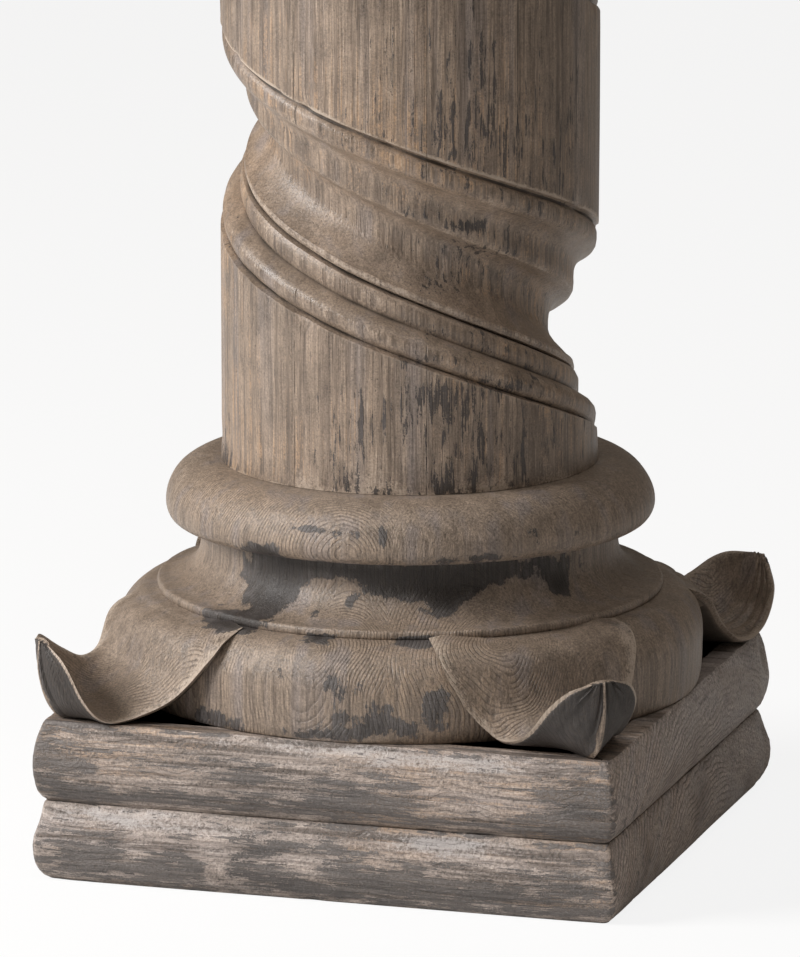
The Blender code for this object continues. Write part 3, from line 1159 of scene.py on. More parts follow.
NEAR_LEFT_EDGE: Knots = [
    (0.00, -0.45, 0.81, 1.08),
    (0.10, -0.29, 0.85, 1.00),
    (0.20, -0.16, 0.83, 0.79),
    (0.28, -0.09, 0.76, 0.58),
    (0.36, -0.04, 0.68, 0.39),
    (0.44, 0.03, 0.58, 0.23),
    (0.52, 0.13, 0.50, 0.13),
    (0.60, 0.29, 0.44, 0.16),
    (0.66, 0.44, 0.41, 0.28),
    (0.80, 0.69, 0.38, 0.57),
    (0.92, 0.84, 0.26, 0.77),
    (1.00, 0.93, 0.11, 0.85),
]
NEAR_RIGHT_EDGE: Knots = [
    (0.00, -0.45, 0.84, 1.06),
    (0.10, -0.29, 0.88, 1.00),
    (0.20, -0.16, 0.86, 0.80),
    (0.36, -0.03, 0.71, 0.30),
    (0.50, 0.15, 0.50, 0.09),
    (0.64, 0.44, 0.44, 0.21),
    (0.80, 0.69, 0.41, 0.56),
    (0.92, 0.84, 0.28, 0.79),
    (1.00, 0.93, 0.11, 0.86),
]
DIPPED_EDGE: Knots = [
    (0.00, -0.46, 0.99, 1.00),
    (0.18, -0.19, 1.00, 0.80),
    (0.36, -0.02, 0.77, 0.25),
    (0.50, 0.17, 0.49, 0.07),
    (0.64, 0.44, 0.44, 0.21),
    (0.80, 0.69, 0.41, 0.56),
    (0.92, 0.84, 0.28, 0.79),
    (1.00, 0.93, 0.11, 0.86),
]
LOW_EDGE: Knots = [
    (0.00, -0.44, 0.82, 1.05),
    (0.10, -0.28, 0.90, 0.96),
    (0.18, -0.15, 0.90, 0.78),
    (0.36, 0.07, 0.68, 0.33),
    (0.50, 0.33, 0.47, 0.10),
    (0.64, 0.56, 0.43, 0.09),
    (0.80, 0.74, 0.40, 0.32),
    (0.92, 0.87, 0.30, 0.68),
    (1.00, 0.94, 0.12, 0.84),
]
HIGH_EDGE: Knots = [
    (0.00, -0.46, 0.99, 1.00),
    (0.18, -0.18, 0.95, 0.82),
    (0.36, 0.07, 0.68, 0.53),
    (0.50, 0.29, 0.52, 0.50),
    (0.64, 0.48, 0.47, 0.61),
    (0.80, 0.66, 0.42, 0.75),
    (0.92, 0.80, 0.31, 0.83),
    (1.00, 0.93, 0.13, 0.85),
]
LIFTED_EDGE: Knots = [
    (0.00, -0.46, 0.96, 1.00),
    (0.18, -0.14, 0.90, 0.79),
    (0.36, 0.13, 0.68, 0.40),
    (0.50, 0.37, 0.52, 0.16),
    (0.64, 0.56, 0.47, 0.14),
    (0.80, 0.73, 0.42, 0.33),
    (0.92, 0.85, 0.33, 0.60),
    (1.00, 0.93, 0.13, 0.78),
]


@dataclass
class CarvedBase:
    """The turned base with its four corner leaves."""

    finish: WoodFinish
    patches: Sequence[Patch]
    segments: int = 288
    foot_radius: float = 0.1950
    torus_radius: float = 0.1990
    torus_height: float = 0.0640
    ring_radius: float = 0.1715
    ring_height: float = 0.0065
    cove_depth: float = 0.0020
    neck_radius: float = 0.1410
    scotia_height: float = 0.0260
    neck_height: float = 0.0145
    upper_radius: float = 0.1650
    equator_drop: float = 0.0300
    lip_inset: float = 0.0070
    lip_rise: float = 0.0012
    seat_radius: float = 0.1353
    leaf_setback: float = 0.0030
    unevenness: float = 0.0010
    tool_marks: float = 0.0004
    ring_wear: float = 0.0014

    def outline(self, bottom: float, top: float) -> list[tuple[float, float]]:
        """The turned outline.

        Args:
            bottom: height of the underside.
            top: height of the shaft's seat.

        Returns:
            (radius, height) points from axis to axis.
        """
        floor = bottom - SEAT_GAP
        torus_top = floor + self.torus_height
        ring_top = torus_top + self.ring_height
        neck = ring_top + self.scotia_height
        lip = neck + self.neck_height + self.lip_rise
        points = [(0.0, bottom), (0.09, bottom), (0.15, bottom), (self.foot_radius, bottom)]
        points += arc(points[-1], (self.torus_radius, floor + self.torus_height * 0.5), 14)
        shoulder = (self.ring_radius + self.cove_depth, torus_top)
        points += arc(points[-1], shoulder, 16, True)
        groove = (self.ring_radius - self.cove_depth / 2, torus_top + self.ring_height * 0.1)
        points += straight(points[-1], groove, 2)
        crest = (self.ring_radius, torus_top + self.ring_height * 0.5)
        points += arc(points[-1], crest, 4)
        points += arc(crest, (self.ring_radius - self.cove_depth, ring_top), 4, True)
        points += arc(points[-1], (self.neck_radius, neck), 14)
        points += straight(points[-1], (self.neck_radius, neck + self.neck_height), 4)
        points += straight(points[-1], (self.upper_radius - self.lip_inset, lip), 6)
        points += arc(points[-1], (self.upper_radius, top - self.equator_drop), 9)
        points += arc(points[-1], (self.seat_radius, top), 16, True)
        points += [(0.12, top), (0.07, top), (0.0, top)]
        return points

    def leaves(self, floor: float, reach: float) -> list[CornerLeaf]:
        """Describe the four leaves, each with its own edges.

        Args:
            floor: height of the plinth's top.
            reach: how far the tips are from the axis.

        Returns:
            The leaves.
        """
        shapes = [
            (-46.0, NEAR_RIGHT_EDGE, NEAR_LEFT_EDGE, 0),
            (45.0, HIGH_EDGE, LIFTED_EDGE, 3),
            (135.0, DIPPED_EDGE, HIGH_EDGE, 0),
            (-135.0, LOW_EDGE, HIGH_EDGE, 0),
        ]
        return [
            CornerLeaf(
                direction, right, left, self.torus_radius, self.torus_height, floor, reach, grooves
            )
            for direction, right, left, grooves in shapes
        ]

    def carve(self, mesh: bpy.types.Mesh, bottom: float, top: float) -> None:
        """Make the turned rings uneven and leave the underside and the seat flat.

        Args:
            mesh: the mesh.
            bottom: height of the underside.
            top: height of the top.
        """
        points = points_of(mesh)
        radius = np.maximum(np.hypot(points[:, 0], points[:, 1]), WELD)
        inside = ease(points[:, 2], bottom + 0.001, bottom + 0.008)
        inside *= ease(-points[:, 2], -top + 0.001, -top + 0.010)
        wave = self.unevenness * noise_at(points, (7.0, 7.0, 30.0), 2.0)
        wave += self.tool_marks * noise_at(points, (30.0, 30.0, 60.0), 5.0)
        ring = bell(points[:, 2] - bottom - self.torus_height - 0.004, 0.006)
        wave -= ring * self.ring_wear * np.maximum(noise_at(points, (40.0, 40.0, 10.0), 8.0), 0.0)
        points[:, :2] *= (1 + inside * wave / radius)[:, None]
        place_points(mesh, points)

    def mark(self, mesh: bpy.types.Mesh, leaf: CornerLeaf) -> None:
        """Keep a leaf's own paint on its outer face, more of it on the right half as painted shade,
        painted shade on its underside behind its rims, and wear along them.

        Args:
            mesh: the leaf's mesh.
            leaf: its description.
        """
        order = np.arange(len(mesh.vertices))
        around = leaf.points_over + leaf.points_under
        along = (order // around) / (leaf.stations - 1)
        spot = order % around
        under = spot >= leaf.points_over
        side = 1 - 2 * (spot - leaf.points_over + 1) / (leaf.points_under + 1)
        tip = ease(along, 0.45, 0.62)
        keel = under * tip * bell(side, 0.11)
        rim = (spot == 0) | (spot == leaf.points_over - 1)
        # Dark paint on each tip's outer face, with extra on its right half as painted shade.
        keep(mesh, "paint", under * tip * (0.80 + 0.15 * (side > 0)) - 0.7 * keel)
        # Painted shade under the root half of the leaf; rims and keel wear paler.
        keep(mesh, "soil_and_shade", 0.45 * under * (1 - tip) - 0.13 * rim - 0.12 * keel)

    def take_in(self, base: bpy.types.Object, parts: list[bpy.types.Object]) -> None:
        """Unite the leaves with the turned body and remove their shells.

        Args:
            base: the turned body.
            parts: the shells.
        """
        for part in parts:
            union = base.modifiers.new(part.name, "BOOLEAN")
            union.operation = "UNION"
            union.solver = "MANIFOLD"
            union.object = part
        graph = bpy.context.evaluated_depsgraph_get()
        solid = bpy.data.meshes.new_from_object(base.evaluated_get(graph))
        base.modifiers.clear()
        base.data = solid
        for part in parts:
            bpy.data.objects.remove(part)

    def build(self) -> bpy.types.Object:
        """Make the base.

        Returns:
            The piece.
        """
        low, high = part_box("carved_base")
        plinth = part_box("plinth_upper_slab")[1]
        bm = bmesh.new()
        turned(bm, self.outline(low.z, high.z), self.segments)
        bmesh.ops.triangulate(bm, faces=bm.faces)
        base = as_piece("turned_base_with_leaves", bm)
        self.carve(base.data, low.z, high.z)
        keep(base.data, "paint", np.zeros(len(base.data.vertices)))
        points = points_of(base.data)
        # Painted shade on the seat's rim, in the corner where the shaft stands.
        inward = ease(-np.hypot(points[:, 0], points[:, 1]), -0.1350, -0.1275)
        seat = inward * ease(points[:, 2], high.z - 0.002, high.z - 0.001)
        keep(base.data, "soil_and_shade", 0.30 * seat * (1 + noise_at(points, 45.0, 31.0)))
        reach = plinth.x * math.sqrt(2) - self.leaf_setback
        parts = []
        for i, leaf in enumerate(self.leaves(plinth.z, reach)):
            shell = leaf.build(f"leaf_shell_{i}")
            self.mark(shell.data, leaf)
            parts.append(shell)
        self.take_in(base, parts)
        dress(base, self.finish, self.patches)
        stand_for(base, "carved_base")
        return base


@dataclass
class TwistedShaft:
    """The round shaft with its moulded spiral groove."""

    finish: WoodFinish
    patches: Sequence[Patch]
    pitch: float = 0.2840
    band_height: float = 0.1425
    edge_height: float = 0.3490
    edge_azimuth: float = -73.0
    steps_a_turn: int = 150
    fine_below: float = 0.640
    plain_end: float = 0.0050
    run_out: float = 0.0220
    wander: float = 0.0008
    jitter: float = 0.0003
    chip_depth: float = 0.0024
    sections: list[list[tuple[float, float]]] = field(
        default_factory=lambda: [
            [(0.0, 127.3), (0.9, 124.6), (2.2, 122.8), (3.4, 122.9)],
            [(3.4, 122.9), (5.0, 124.7), (8.0, 125.8), (12.0, 125.8), (16.0, 125.0)]
            + [(18.6, 123.4)],
            [(18.6, 123.4), (20.0, 120.4)],
            [(20.0, 120.4), (22.5, 116.6), (25.5, 113.6), (29.0, 111.6), (33.0, 110.6)]
            + [(38.0, 110.3)],
            [(38.0, 110.3), (42.0, 110.4), (46.0, 110.0), (48.6, 108.6), (49.8, 106.6)],
            [(49.8, 106.6), (51.4, 101.6)],
            [(51.4, 101.6), (53.6, 98.2), (57.0, 95.6), (62.0, 94.0), (68.0, 93.4), (75.0, 93.3)]
            + [(81.0, 95.0), (87.0, 99.3), (92.0, 104.4), (96.0, 108.4)],
            [(96.0, 108.4), (97.4, 110.6), (100.0, 111.2), (102.6, 110.2), (104.0, 107.4)],
            [(104.0, 107.4), (105.4, 112.4)],
            [(105.4, 112.4), (109.0, 114.2), (116.0, 114.2), (120.6, 112.4)],
            [(120.6, 112.4), (122.2, 117.6)],
            [(122.2, 117.6), (125.0, 122.6), (128.0, 125.2), (131.5, 126.0), (135.0, 125.6)]
            + [(138.4, 124.2), (140.8, 122.0)],
            [(140.8, 122.0), (142.5, 127.3)],
        ]
    )
    # Drops in millimetres and strengths of the painted shade darkening the groove's creases
    crease_shade: Sequence[tuple[float, float]] = (
        ((2.8, 0.40), (20.0, 0.26), (51.0, 0.12), (104.6, 0.36), (121.2, 0.24), (141.6, 0.45))
    )
    arrises: Sequence[tuple[float, float]] = (
        ((0.0, 0.35), (17.6, 0.15), (48.8, 0.16), (100.0, 0.18), (118.6, 0.15), (142.5, 0.22))
    )
    line_width: float = 1.1
    band_stops: Sequence[float] = (145, 152, 163, 180, 200, 222, 244, 262, 275, 281)
    facets: float = 0.0009
    ripple: float = 0.0007
    tool_marks: float = 0.0004
    arris_width: float = 0.0035
    sharp_turn: float = 38.0

    def outline(self) -> list[tuple[float, float]]:
        """Put the sections and the round band together.

        Returns:
            (drop, radius) points of one pitch, in metres.
        """
        points = [self.sections[0][0]]
        for section in self.sections:
            points += section[1:]
        full = self.sections[0][0][1]
        points += [(stop, full) for stop in self.band_stops]
        points.append((self.pitch * 1000, full))
        return [(drop / 1000, radius / 1000) for drop, radius in points]

    def screw(self, bm: bmesh.types.BMesh, bottom: float, top: float) -> None:
        """Sweep one pitch of the outline down a left-hand screw, past both ends.

        Args:
            bm: takes the shape.
            bottom: height of the underside.
            top: height of the top.
        """
        above = math.ceil((top - self.edge_height) / self.pitch) + 2
        below = math.ceil((self.edge_height - bottom) / self.pitch) + 2
        start = self.edge_height + self.band_height + above * self.pitch
        verts = [bm.verts.new((radius, 0.0, start - drop)) for drop, radius in self.outline()]
        edges = [bm.edges.new(pair) for pair in zip(verts, verts[1:])]
        bmesh.ops.spin(
            bm,
            geom=verts + edges,
            cent=(0, 0, 0),
            axis=(0, 0, 1),
            dvec=(0, 0, -self.pitch / self.steps_a_turn),
            angle=2 * math.pi,
            steps=self.steps_a_turn,
        )
        one_turn = bm.verts[:] + bm.edges[:] + bm.faces[:]
        for turn in range(1, above + below):
            copied = bmesh.ops.duplicate(bm, geom=one_turn)["geom"]
            again = [item for item in copied if isinstance(item, bmesh.types.BMVert)]
            bmesh.ops.translate(bm, verts=again, vec=(0, 0, -turn * self.pitch))
        around = Matrix.Rotation(math.radians(self.edge_azimuth), 3, "Z")
        bmesh.ops.rotate(bm, verts=bm.verts, cent=(0, 0, 0), matrix=around)
        bmesh.ops.remove_doubles(bm, verts=bm.verts, dist=1e-5)

    def trim(self, bm: bmesh.types.BMesh, bottom: float, top: float) -> None:
        """Cut the screw flat at both ends and close it.

        Args:
            bm: the screw.
            bottom: height of the underside.
            top: height of the top.
        """
        for level, outward in ((bottom, -1), (top, 1)):
            cut = bmesh.ops.bisect_plane(
                bm,
                geom=bm.verts[:] + bm.edges[:] + bm.faces[:],
                dist=1e-5,
                plane_co=(0, 0, level),
                plane_no=(0, 0, outward),
                clear_outer=True,
            )
            rim = [item for item in cut["geom_cut"] if isinstance(item, bmesh.types.BMEdge)]
            bmesh.ops.contextual_create(bm, geom=rim)

    def refine(self, bm: bmesh.types.BMesh, bottom: float) -> None:
        """Halve the steps round the foot of the shaft, where the carving is seen closest.

        Args:
            bm: the shaft.
            bottom: height of the underside.
        """
        chosen = []
        for edge in bm.edges:
            one, two = (vert.co for vert in edge.verts)
            if max(one.z, two.z) < self.fine_below and min(one.z, two.z) > bottom + 0.001:
                level = abs(one.z - two.z) / max((one - two).length, WELD)
                flat = abs(math.hypot(one.x, one.y) - math.hypot(two.x, two.y))
                if level < 0.5 and flat < 0.0004:
                    chosen.append(edge)
        bmesh.ops.subdivide_edges(bm, edges=chosen, cuts=1, use_grid_fill=True)

    def drop_of(self, points: np.ndarray) -> np.ndarray:
        """Measure down from the last block's lower edge.

        Args:
            points: positions, one a row.

        Returns:
            How far below that edge each is, along the pitch.
        """
        angle = np.arctan2(points[:, 1], points[:, 0]) - math.radians(self.edge_azimuth)
        edge = self.edge_height + self.band_height - self.pitch * angle / (2 * math.pi)
        return np.mod(edge - points[:, 2], self.pitch)

    def carve(self, mesh: bpy.types.Mesh, bottom: float, top: float) -> None:
        """Fade the groove out at both ends and make the hand carving uneven.

        Args:
            mesh: the mesh.
            bottom: height of the underside.
            top: height of the top.
        """
        points = points_of(mesh)
        full = self.sections[0][0][1] / 1000
        drop = self.drop_of(points)
        inside = np.minimum(points[:, 2] - bottom, top - points[:, 2]) - self.plain_end
        share = ease(inside, 0.0, self.run_out)
        radius = np.maximum(np.hypot(points[:, 0], points[:, 1]), WELD)
        round_face = radius > 0.05
        deep = (full - radius) / full
        outer = ease(-deep, -0.02, 0.0)
        wanted = full - (full - radius) * share
        wave = -self.facets * (0.5 + 0.5 * noise_at(points, (14.0, 14.0, 5.0), 1.0))
        wave -= self.ripple * np.maximum(noise_at(points, (60.0, 60.0, 4.0), 3.0), 0.0) * outer
        wave += self.tool_marks * noise_at(points, 38.0, 6.0) * (1 - outer)
        low_edge = bell(drop - self.band_height, self.arris_width)
        high_edge = bell(np.minimum(drop, self.pitch - drop), self.arris_width)
        chip = np.maximum(noise_at(points, (70.0, 70.0, 22.0), 9.0) - 0.05, 0.0)
        wave -= self.chip_depth * chip * 2.0 * (high_edge + 0.6 * low_edge) * share
        wanted += wave * ease(inside, -self.plain_end, 0.004)
        points[round_face, :2] *= (wanted / radius)[round_face, None]
        slide = self.wander * noise_at(points, 9.0, 11.0)
        slide += self.jitter * noise_at(points, (45.0, 45.0, 20.0), 12.0)
        points[:, 2] += slide * share * round_face
        place_points(mesh, points)

    def soil_and_shade(self, mesh: bpy.types.Mesh, bottom: float, top: float) -> None:
        """Keep the painted shade in the groove's creases and, below 0, the wear of its arrises.

        Args:
            mesh: the mesh.
            bottom: height of the underside.
            top: height of the top.
        """
        points = points_of(mesh)
        drop = self.drop_of(points) * 1000
        share = ease(np.minimum(points[:, 2] - bottom, top - points[:, 2]), 0.0, self.run_out)
        soil_and_shade = np.zeros(len(points))
        for sign, lines in ((1.0, self.crease_shade), (-1.0, self.arrises)):
            for place, amount in lines:
                away = abs(drop - place)
                away = np.minimum(away, self.pitch * 1000 - away)
                soil_and_shade += sign * amount * bell(away, self.line_width)
        uneven = np.clip(0.85 + 0.9 * noise_at(points, 38.0, 17.0), 0.25, 1.2)
        keep(mesh, "soil_and_shade", soil_and_shade * share * uneven)

    def build(self) -> bpy.types.Object:
        """Make the shaft.

        Returns:
            The piece.
        """
        low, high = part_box("twisted_shaft")
        bm = bmesh.new()
        self.screw(bm, low.z, high.z)
        self.trim(bm, low.z, high.z)
        self.refine(bm, low.z)
        bmesh.ops.triangulate(bm, faces=[face for face in bm.faces if len(face.verts) > 4])
        shaft = as_piece("spiral_shaft", bm)
        self.soil_and_shade(shaft.data, low.z, high.z)
        self.carve(shaft.data, low.z, high.z)
        dress(shaft, self.finish, self.patches, self.sharp_turn)
        stand_for(shaft, "twisted_shaft")
        return shaft


@dataclass
class Capital:
    """The plain turned capital."""

    finish: WoodFinish
    segments: int = 224
    shaft_radius: float = 0.1273
    astragal_radius: float = 0.1410
    astragal_height: float = 0.0200
    neck_height: float = 0.0320
    fillet_radius: float = 0.1360
    fillet_height: float = 0.0080
    echinus_radius: float = 0.1640
    top_band: float = 0.0100
    rim: float = 0.0060
    unevenness: float = 0.0009
    ripple: float = 0.0005

    def outline(self, bottom: float, top: float) -> list[tuple[float, float]]:
        """The turned outline.

        Args:
            bottom: height of the underside.
            top: height of the top.

        Returns:
            (radius, height) points from axis to axis.
        """
        neck_bottom = bottom + self.astragal_height
        neck_top = neck_bottom + self.neck_height
        fillet_top = neck_top + self.fillet_height
        middle = bottom + self.astragal_height / 2
        points = [(0.0, bottom), (0.07, bottom), (self.shaft_radius, bottom)]
        points += arc(points[-1], (self.astragal_radius, middle), 9)
        points += arc(points[-1], (self.shaft_radius, neck_bottom), 9, True)
        points += straight(points[-1], (self.shaft_radius, neck_top), 6)
        points += straight(points[-1], (self.fillet_radius - 0.0008, neck_top), 3)
        points += straight(points[-1], (self.fillet_radius, neck_top + 0.0008), 1)
        points += straight(points[-1], (self.fillet_radius, fillet_top), 3)
        points += arc(points[-1], (self.echinus_radius, top - self.top_band), 14)
        points += straight(points[-1], (self.echinus_radius, top - 0.0010), 3)
        points += [(self.echinus_radius - 0.0010, top), (0.10, top), (0.0, top)]
        return points

    def build(self) -> bpy.types.Object:
        """Make the capital.

        Returns:
            The piece.
        """
        low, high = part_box("capital")
        bm = bmesh.new()
        turned(bm, self.outline(low.z, high.z), self.segments)
        piece = as_piece("turned_capital", bm)
        points = points_of(piece.data)
        radius = np.maximum(np.hypot(points[:, 0], points[:, 1]), WELD)
        inside = ease(points[:, 2], low.z, low.z + self.rim)
        inside *= ease(-points[:, 2], -high.z, -high.z + self.rim)
        wave = -self.unevenness * (0.5 + 0.5 * noise_at(points, (8.0, 8.0, 30.0), 21.0))
        wave -= self.ripple * np.maximum(noise_at(points, (40.0, 40.0, 60.0), 23.0), 0.0)
        points[:, :2] *= (1 + inside * wave / radius)[:, None]
        place_points(piece.data, points)
        dress(piece, self.finish, ())
        stand_for(piece, "capital")
        return piece


# Finishes and their blots, with each blot where the real piece has one

PLINTH_FINISH = WoodFinish(
    name="plinth_wood",
    grain=Grain.ALONG_FRONT,
    light=(0.400, 0.342, 0.308),
    middle=(0.258, 0.214, 0.186),
    mauve=(0.300, 0.268, 0.262),
    chalk_and_highlight=(0.470, 0.445, 0.440),
    slate=(0.038, 0.034, 0.033),
    slate_pale=(0.108, 0.098, 0.094),
    streak_show=0.8,
    line_show=0.45,
    ring_show=0.30,
    ring_gap=0.0040,
    end_rings=0.50,
    paint_share=0.42,
    ragged=(0.30, 1.0, 1.2),
    ragged_pace=130.0,
    fibrous=1.3,
    frayed=0.9,
    worn_through=0.40,
    grit_pace=480.0,
    grit_show=2.6,
    grit_rise=0.65,
    bump=1.3,
)
BASE_FINISH = WoodFinish(
    name="base_wood",
    grain=Grain.UPRIGHT,
    light=(0.278, 0.217, 0.168),
    middle=(0.212, 0.164, 0.126),
    warm=(0.280, 0.205, 0.145),
    streak_show=0.35,
    line_show=0.35,
    ring_show=0.55,
    paint_share=0.11,
    fibre_show=1.5,
    end_calm=0.50,
    grit_show=1.8,
    grit_rise=0.40,
)
SHAFT_FINISH = WoodFinish(
    name="shaft_wood",
    grain=Grain.UPRIGHT,
    light=(0.275, 0.213, 0.163),
    middle=(0.200, 0.152, 0.116),
    dark=(0.092, 0.069, 0.054),
    slate=(0.018, 0.015, 0.015),
    slate_pale=(0.050, 0.044, 0.043),
    streak_show=0.42,
    line_show=0.8,
    ring_show=0.0,
    fibre_show=1.5,
    end_calm=0.80,
    paint_share=0.215,
    ragged=(1.0, 1.0, 0.17),
    ragged_pace=260.0,
    fibrous=0.9,
    frayed=0.6,
    worn_through=0.30,
    grit_show=1.7,
    grit_rise=0.30,
    roughness=0.37,
    joints=(-150.6, -109.9, -67.9, -39.2, -12.9, 22.0, 61.0, 98.0, 139.0),
)
CAPITAL_FINISH = WoodFinish(
    name="capital_wood",
    grain=Grain.UPRIGHT,
    streak_show=0.4,
    line_show=0.4,
    paint_share=0.14,
)
ABACUS_FINISH = WoodFinish(
    name="abacus_wood",
    grain=Grain.ALONG_FRONT,
    ring_gap=0.0035,
    paint_share=0.28,
    ragged=(0.40, 1.0, 1.0),
    ragged_pace=90.0,
    fibrous=1.0,
    frayed=0.9,
    worn_through=0.40,
    grit_show=1.2,
)

SHAFT_PATCHES = [
    Patch(-55.0, 0.552, 0.020, 0.034, 0.27),
    Patch(-64.0, 0.500, 0.014, 0.022, 0.26),
    Patch(-47.0, 0.500, 0.018, 0.036, 0.24),
    Patch(-84.0, 0.560, 0.010, 0.040, 0.16),
    Patch(-30.0, 0.490, 0.020, 0.060, 0.20),
    Patch(-16.0, 0.500, 0.020, 0.070, 0.16),
    Patch(-67.0, 0.325, 0.024, 0.014, 0.34),
    Patch(-62.0, 0.300, 0.060, 0.026, 0.22),
    Patch(-86.0, 0.327, 0.016, 0.006, 0.20),
    Patch(-97.0, 0.290, 0.030, 0.030, 0.18),
    Patch(-88.0, 0.262, 0.060, 0.0030, 0.45),
    Patch(-55.0, 0.262, 0.050, 0.0040, 0.38),
    Patch(-51.0, 0.276, 0.024, 0.014, 0.16),
    Patch(-35.0, 0.290, 0.030, 0.020, 0.16),
    Patch(-151.0, 0.263, 0.016, 0.020, 0.40),
    Patch(-122.0, 0.560, 0.030, 0.060, -0.20),
    Patch(-125.0, 0.300, 0.040, 0.030, -0.20),
    Patch(-54.0, 0.437, 0.014, 0.004, 0.55),
    Patch(-46.0, 0.420, 0.030, 0.010, 0.30),
    Patch(-70.0, 0.446, 0.014, 0.003, 0.40),
    Patch(-62.0, 0.398, 0.024, 0.010, 0.30),
    Patch(-58.0, 0.366, 0.030, 0.004, 0.34),
    Patch(-66.0, 0.352, 0.040, 0.004, 0.30),
    Patch(-40.0, 0.330, 0.030, 0.006, 0.34),
]
BASE_PATCHES = [
    Patch(-72.0, 0.206, 0.115, 0.014, 1.10),
    Patch(-112.0, 0.192, 0.022, 0.020, 0.80),
    Patch(-30.0, 0.196, 0.012, 0.011, 0.60),
    Patch(-94.0, 0.197, 0.020, 0.009, -1.20),
    Patch(-43.0, 0.191, 0.020, 0.010, -1.10),
    Patch(-64.0, 0.191, 0.010, 0.009, 0.60),
    Patch(-89.0, 0.192, 0.005, 0.005, 0.80),
    Patch(-97.0, 0.186, 0.004, 0.004, 0.80),
    Patch(-118.0, 0.175, 0.030, 0.004, 0.70),
    Patch(-93.0, 0.173, 0.012, 0.003, 0.70),
    Patch(-72.0, 0.173, 0.020, 0.003, 0.70),
    Patch(-40.0, 0.173, 0.016, 0.003, 0.50),
    Patch(-101.0, 0.152, 0.026, 0.007, 0.44),
    Patch(-88.0, 0.150, 0.012, 0.010, 0.30),
    Patch(-82.0, 0.134, 0.030, 0.016, 0.38),
    Patch(-78.0, 0.119, 0.030, 0.008, 0.40),
    Patch(-93.0, 0.113, 0.040, 0.005, 0.50),
    Patch(-115.0, 0.115, 0.025, 0.008, 0.60),
    Patch(-68.0, 0.136, 0.010, 0.018, 0.50),
    Patch(-24.0, 0.140, 0.030, 0.012, 0.30),
    Patch(-110.0, 0.226, 0.014, 0.005, 0.70),
    Patch(-97.0, 0.243, 0.020, 0.002, 0.60),
    Patch(-88.0, 0.240, 0.014, 0.004, 0.40),
    Patch(-79.0, 0.240, 0.005, 0.010, 0.60),
    Patch(-67.0, 0.240, 0.010, 0.007, 0.44),
    Patch(-43.0, 0.237, 0.010, 0.008, 0.46),
    Patch(-29.0, 0.235, 0.014, 0.008, 0.44),
    Patch(-58.0, 0.226, 0.030, 0.003, 0.36),
]
UPPER_SLAB_PATCHES = [
    FacePatch(-0.195, 0.080, 0.030, 0.030, 0.30),
    FacePatch(-0.048, 0.084, 0.040, 0.008, 0.30),
    FacePatch(0.030, 0.078, 0.050, 0.008, 0.30),
    FacePatch(-0.100, 0.064, 0.120, 0.006, 0.30),
    FacePatch(0.175, 0.078, 0.024, 0.020, 0.40),
    FacePatch(0.060, 0.062, 0.140, 0.004, 0.20),
    FacePatch(-0.020, 0.100, 0.180, 0.006, -0.34),
    FacePatch(-0.142, 0.078, 0.010, 0.008, -0.70),
    FacePatch(-0.100, 0.078, 0.018, 0.008, -0.30),
    FacePatch(-0.020, 0.088, 0.020, 0.010, -0.40),
    FacePatch(0.100, 0.080, 0.050, 0.012, -0.34),
]
# Blots of chalky wear with a painted highlight along the upper slab's upper front edge
UPPER_SLAB_CHALK_AND_HIGHLIGHT = [
    FacePatch(-0.020, 0.103, 0.190, 0.007, 0.42),
    FacePatch(0.090, 0.099, 0.080, 0.008, 0.30),
]
# Blots of chalky wear with a painted highlight along the lower slab's upper front edge
LOWER_SLAB_CHALK_AND_HIGHLIGHT = [
    FacePatch(0.085, 0.045, 0.050, 0.007, 0.75),
    FacePatch(-0.150, 0.047, 0.050, 0.007, 0.60),
    FacePatch(-0.050, 0.044, 0.060, 0.006, 0.40),
]
LOWER_SLAB_PATCHES = [
    FacePatch(-0.140, 0.018, 0.060, 0.014, 0.36),
    FacePatch(-0.020, 0.012, 0.070, 0.010, 0.34),
    FacePatch(0.100, 0.016, 0.090, 0.012, 0.34),
    FacePatch(-0.030, 0.034, 0.040, 0.008, 0.24),
    FacePatch(-0.150, 0.045, 0.050, 0.006, -0.30),
    FacePatch(-0.128, 0.030, 0.008, 0.010, -0.60),
    FacePatch(-0.076, 0.034, 0.012, 0.010, -0.60),
    FacePatch(-0.073, 0.018, 0.006, 0.012, -0.70),
    FacePatch(-0.012, 0.026, 0.014, 0.008, -0.50),
    FacePatch(0.095, 0.043, 0.050, 0.006, -0.60),
]


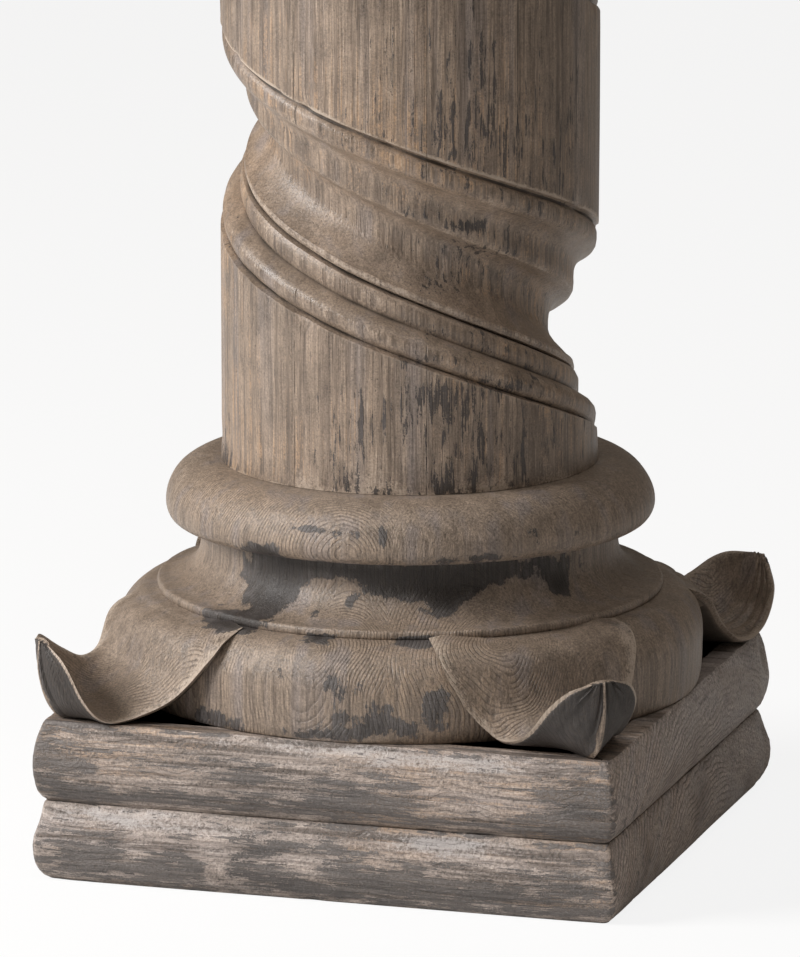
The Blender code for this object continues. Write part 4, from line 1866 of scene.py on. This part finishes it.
@dataclass
class Studio:
    """The pale floor, the light and the camera."""

    unit: float = 0.3934
    azimuth: float = 17.1
    elevation: float = 12.3
    distance: float = 14.0
    shift_right: float = -0.017
    shift_up: float = 0.607
    focal_pixels: float = 8080.0
    frame_pixels: float = 957.0
    sensor: float = 36.0
    floor_half: float = 60.0
    aim: Vector = field(default_factory=lambda: Vector((0.0, 0.0, 0.35)))
    lamp_tint: Colour = (1.0, 0.975, 0.95)
    felt_tint: Colour = (1.0, 0.87, 0.74)
    felt_strength: float = 0.150
    floor_tone: float = 0.86
    floor_glow: float = 0.86

    def camera(self) -> None:
        """Place the camera at the photograph's viewing angle."""
        turn, rise = math.radians(self.azimuth), math.radians(self.elevation)
        back = Vector(
            (math.sin(turn) * math.cos(rise), -math.cos(turn) * math.cos(rise), math.sin(rise))
        )
        right = Vector((math.cos(turn), math.sin(turn), 0.0))
        up = back.cross(right)
        place = self.unit * (back * self.distance + right * self.shift_right + up * self.shift_up)
        data = bpy.data.cameras.new("camera")
        data.sensor_fit = "AUTO"
        data.sensor_width = self.sensor
        data.lens = self.focal_pixels / self.frame_pixels * self.sensor
        data.clip_end = 200.0
        made = bpy.data.objects.new("camera", data)
        axes = Matrix((right, up, back)).transposed().to_4x4()
        made.matrix_world = Matrix.Translation(place) @ axes
        bpy.context.scene.collection.objects.link(made)
        bpy.context.scene.camera = made

    def lamp(self, name: str, place: Vector, size: float, power: float) -> None:
        """Hang a square soft light.

        Args:
            name: its name.
            place: where it hangs.
            size: its width.
            power: its power in watts.
        """
        data = bpy.data.lights.new(name, "AREA")
        data.shape = "SQUARE"
        data.size = size
        data.energy = power
        data.color = self.lamp_tint
        made = bpy.data.objects.new(name, data)
        turn = (place - self.aim).to_track_quat("Z", "Y").to_matrix().to_4x4()
        made.matrix_world = Matrix.Translation(place) @ turn
        bpy.context.scene.collection.objects.link(made)

    def world(self) -> None:
        """White around, with a softer share of it as light."""
        made = bpy.data.worlds.new("studio")
        made.use_nodes = True
        tree = made.node_tree
        tree.nodes.clear()
        path = tree.nodes.new("ShaderNodeLightPath")
        seen = tree.nodes.new("ShaderNodeBackground")
        seen.inputs["Color"].default_value = (1.0, 1.0, 1.0, 1.0)
        seen.inputs["Strength"].default_value = 1.0
        felt = tree.nodes.new("ShaderNodeBackground")
        felt.inputs["Color"].default_value = (*self.felt_tint, 1.0)
        felt.inputs["Strength"].default_value = self.felt_strength
        mix = tree.nodes.new("ShaderNodeMixShader")
        out = tree.nodes.new("ShaderNodeOutputWorld")
        tree.links.new(path.outputs["Is Camera Ray"], mix.inputs[0])
        tree.links.new(felt.outputs[0], mix.inputs[1])
        tree.links.new(seen.outputs[0], mix.inputs[2])
        tree.links.new(mix.outputs[0], out.inputs["Surface"])
        bpy.context.scene.world = made

    def floor(self) -> None:
        """Lay the plain pale floor."""
        bm = bmesh.new()
        bmesh.ops.create_grid(bm, x_segments=4, y_segments=4, size=self.floor_half)
        made = as_piece("floor", bm)
        bench = Bench("floor_pale")
        tone = (self.floor_tone,) * 3
        matt = bench.node("ShaderNodeBsdfPrincipled", None, {"Base Color": tone, "Roughness": 0.9})
        glow = bench.node("ShaderNodeEmission", None, {"Color": (1.0, 1.0, 1.0), "Strength": 1.0})
        seen = bench.node("ShaderNodeLightPath") * self.floor_glow
        mixed = bench.node("ShaderNodeMixShader", None, {0: seen, 1: matt, 2: glow})
        bench.node("ShaderNodeOutputMaterial", None, {"Surface": mixed})
        made.data.materials.append(bench.material)

    def build(self) -> None:
        """Set up the whole studio."""
        self.camera()
        self.world()
        self.floor()
        self.lamp("key", Vector((-2.6, -1.7, 2.0)), 1.5, 180.0)
        self.lamp("top", Vector((0.9, -1.6, 4.0)), 2.5, 34.0)
        bpy.context.scene.view_settings.view_transform = "Standard"


def main() -> None:
    """Build every piece of the column from the floor up, then the studio."""
    logging.basicConfig(level=logging.INFO, format="%(message)s")
    wood = ("plinth_wood", PLINTH_FINISH)
    top = ("capital_wood", ABACUS_FINISH)
    lower = Slab(
        "lower_slab", "plinth_lower_slab", *wood, LOWER_SLAB_PATCHES, LOWER_SLAB_CHALK_AND_HIGHLIGHT, seed=1.0
    )
    upper = Slab(
        "upper_slab", "plinth_upper_slab", *wood, UPPER_SLAB_PATCHES, UPPER_SLAB_CHALK_AND_HIGHLIGHT, seed=5.0
    )
    base = CarvedBase(BASE_FINISH, BASE_PATCHES)
    shaft = TwistedShaft(SHAFT_FINISH, SHAFT_PATCHES)
    capital = Capital(CAPITAL_FINISH)
    abacus = Slab("abacus", "abacus_slab", *top, seed=9.0, upside_down=True)
    for part in (lower, upper, base, shaft, capital, abacus):
        piece = part.build()
        piece.data.calc_loop_triangles()
        LOG.info("%s: %d triangles", piece.name, len(piece.data.loop_triangles))
    Studio().build()


if __name__ == "__main__":
    main()
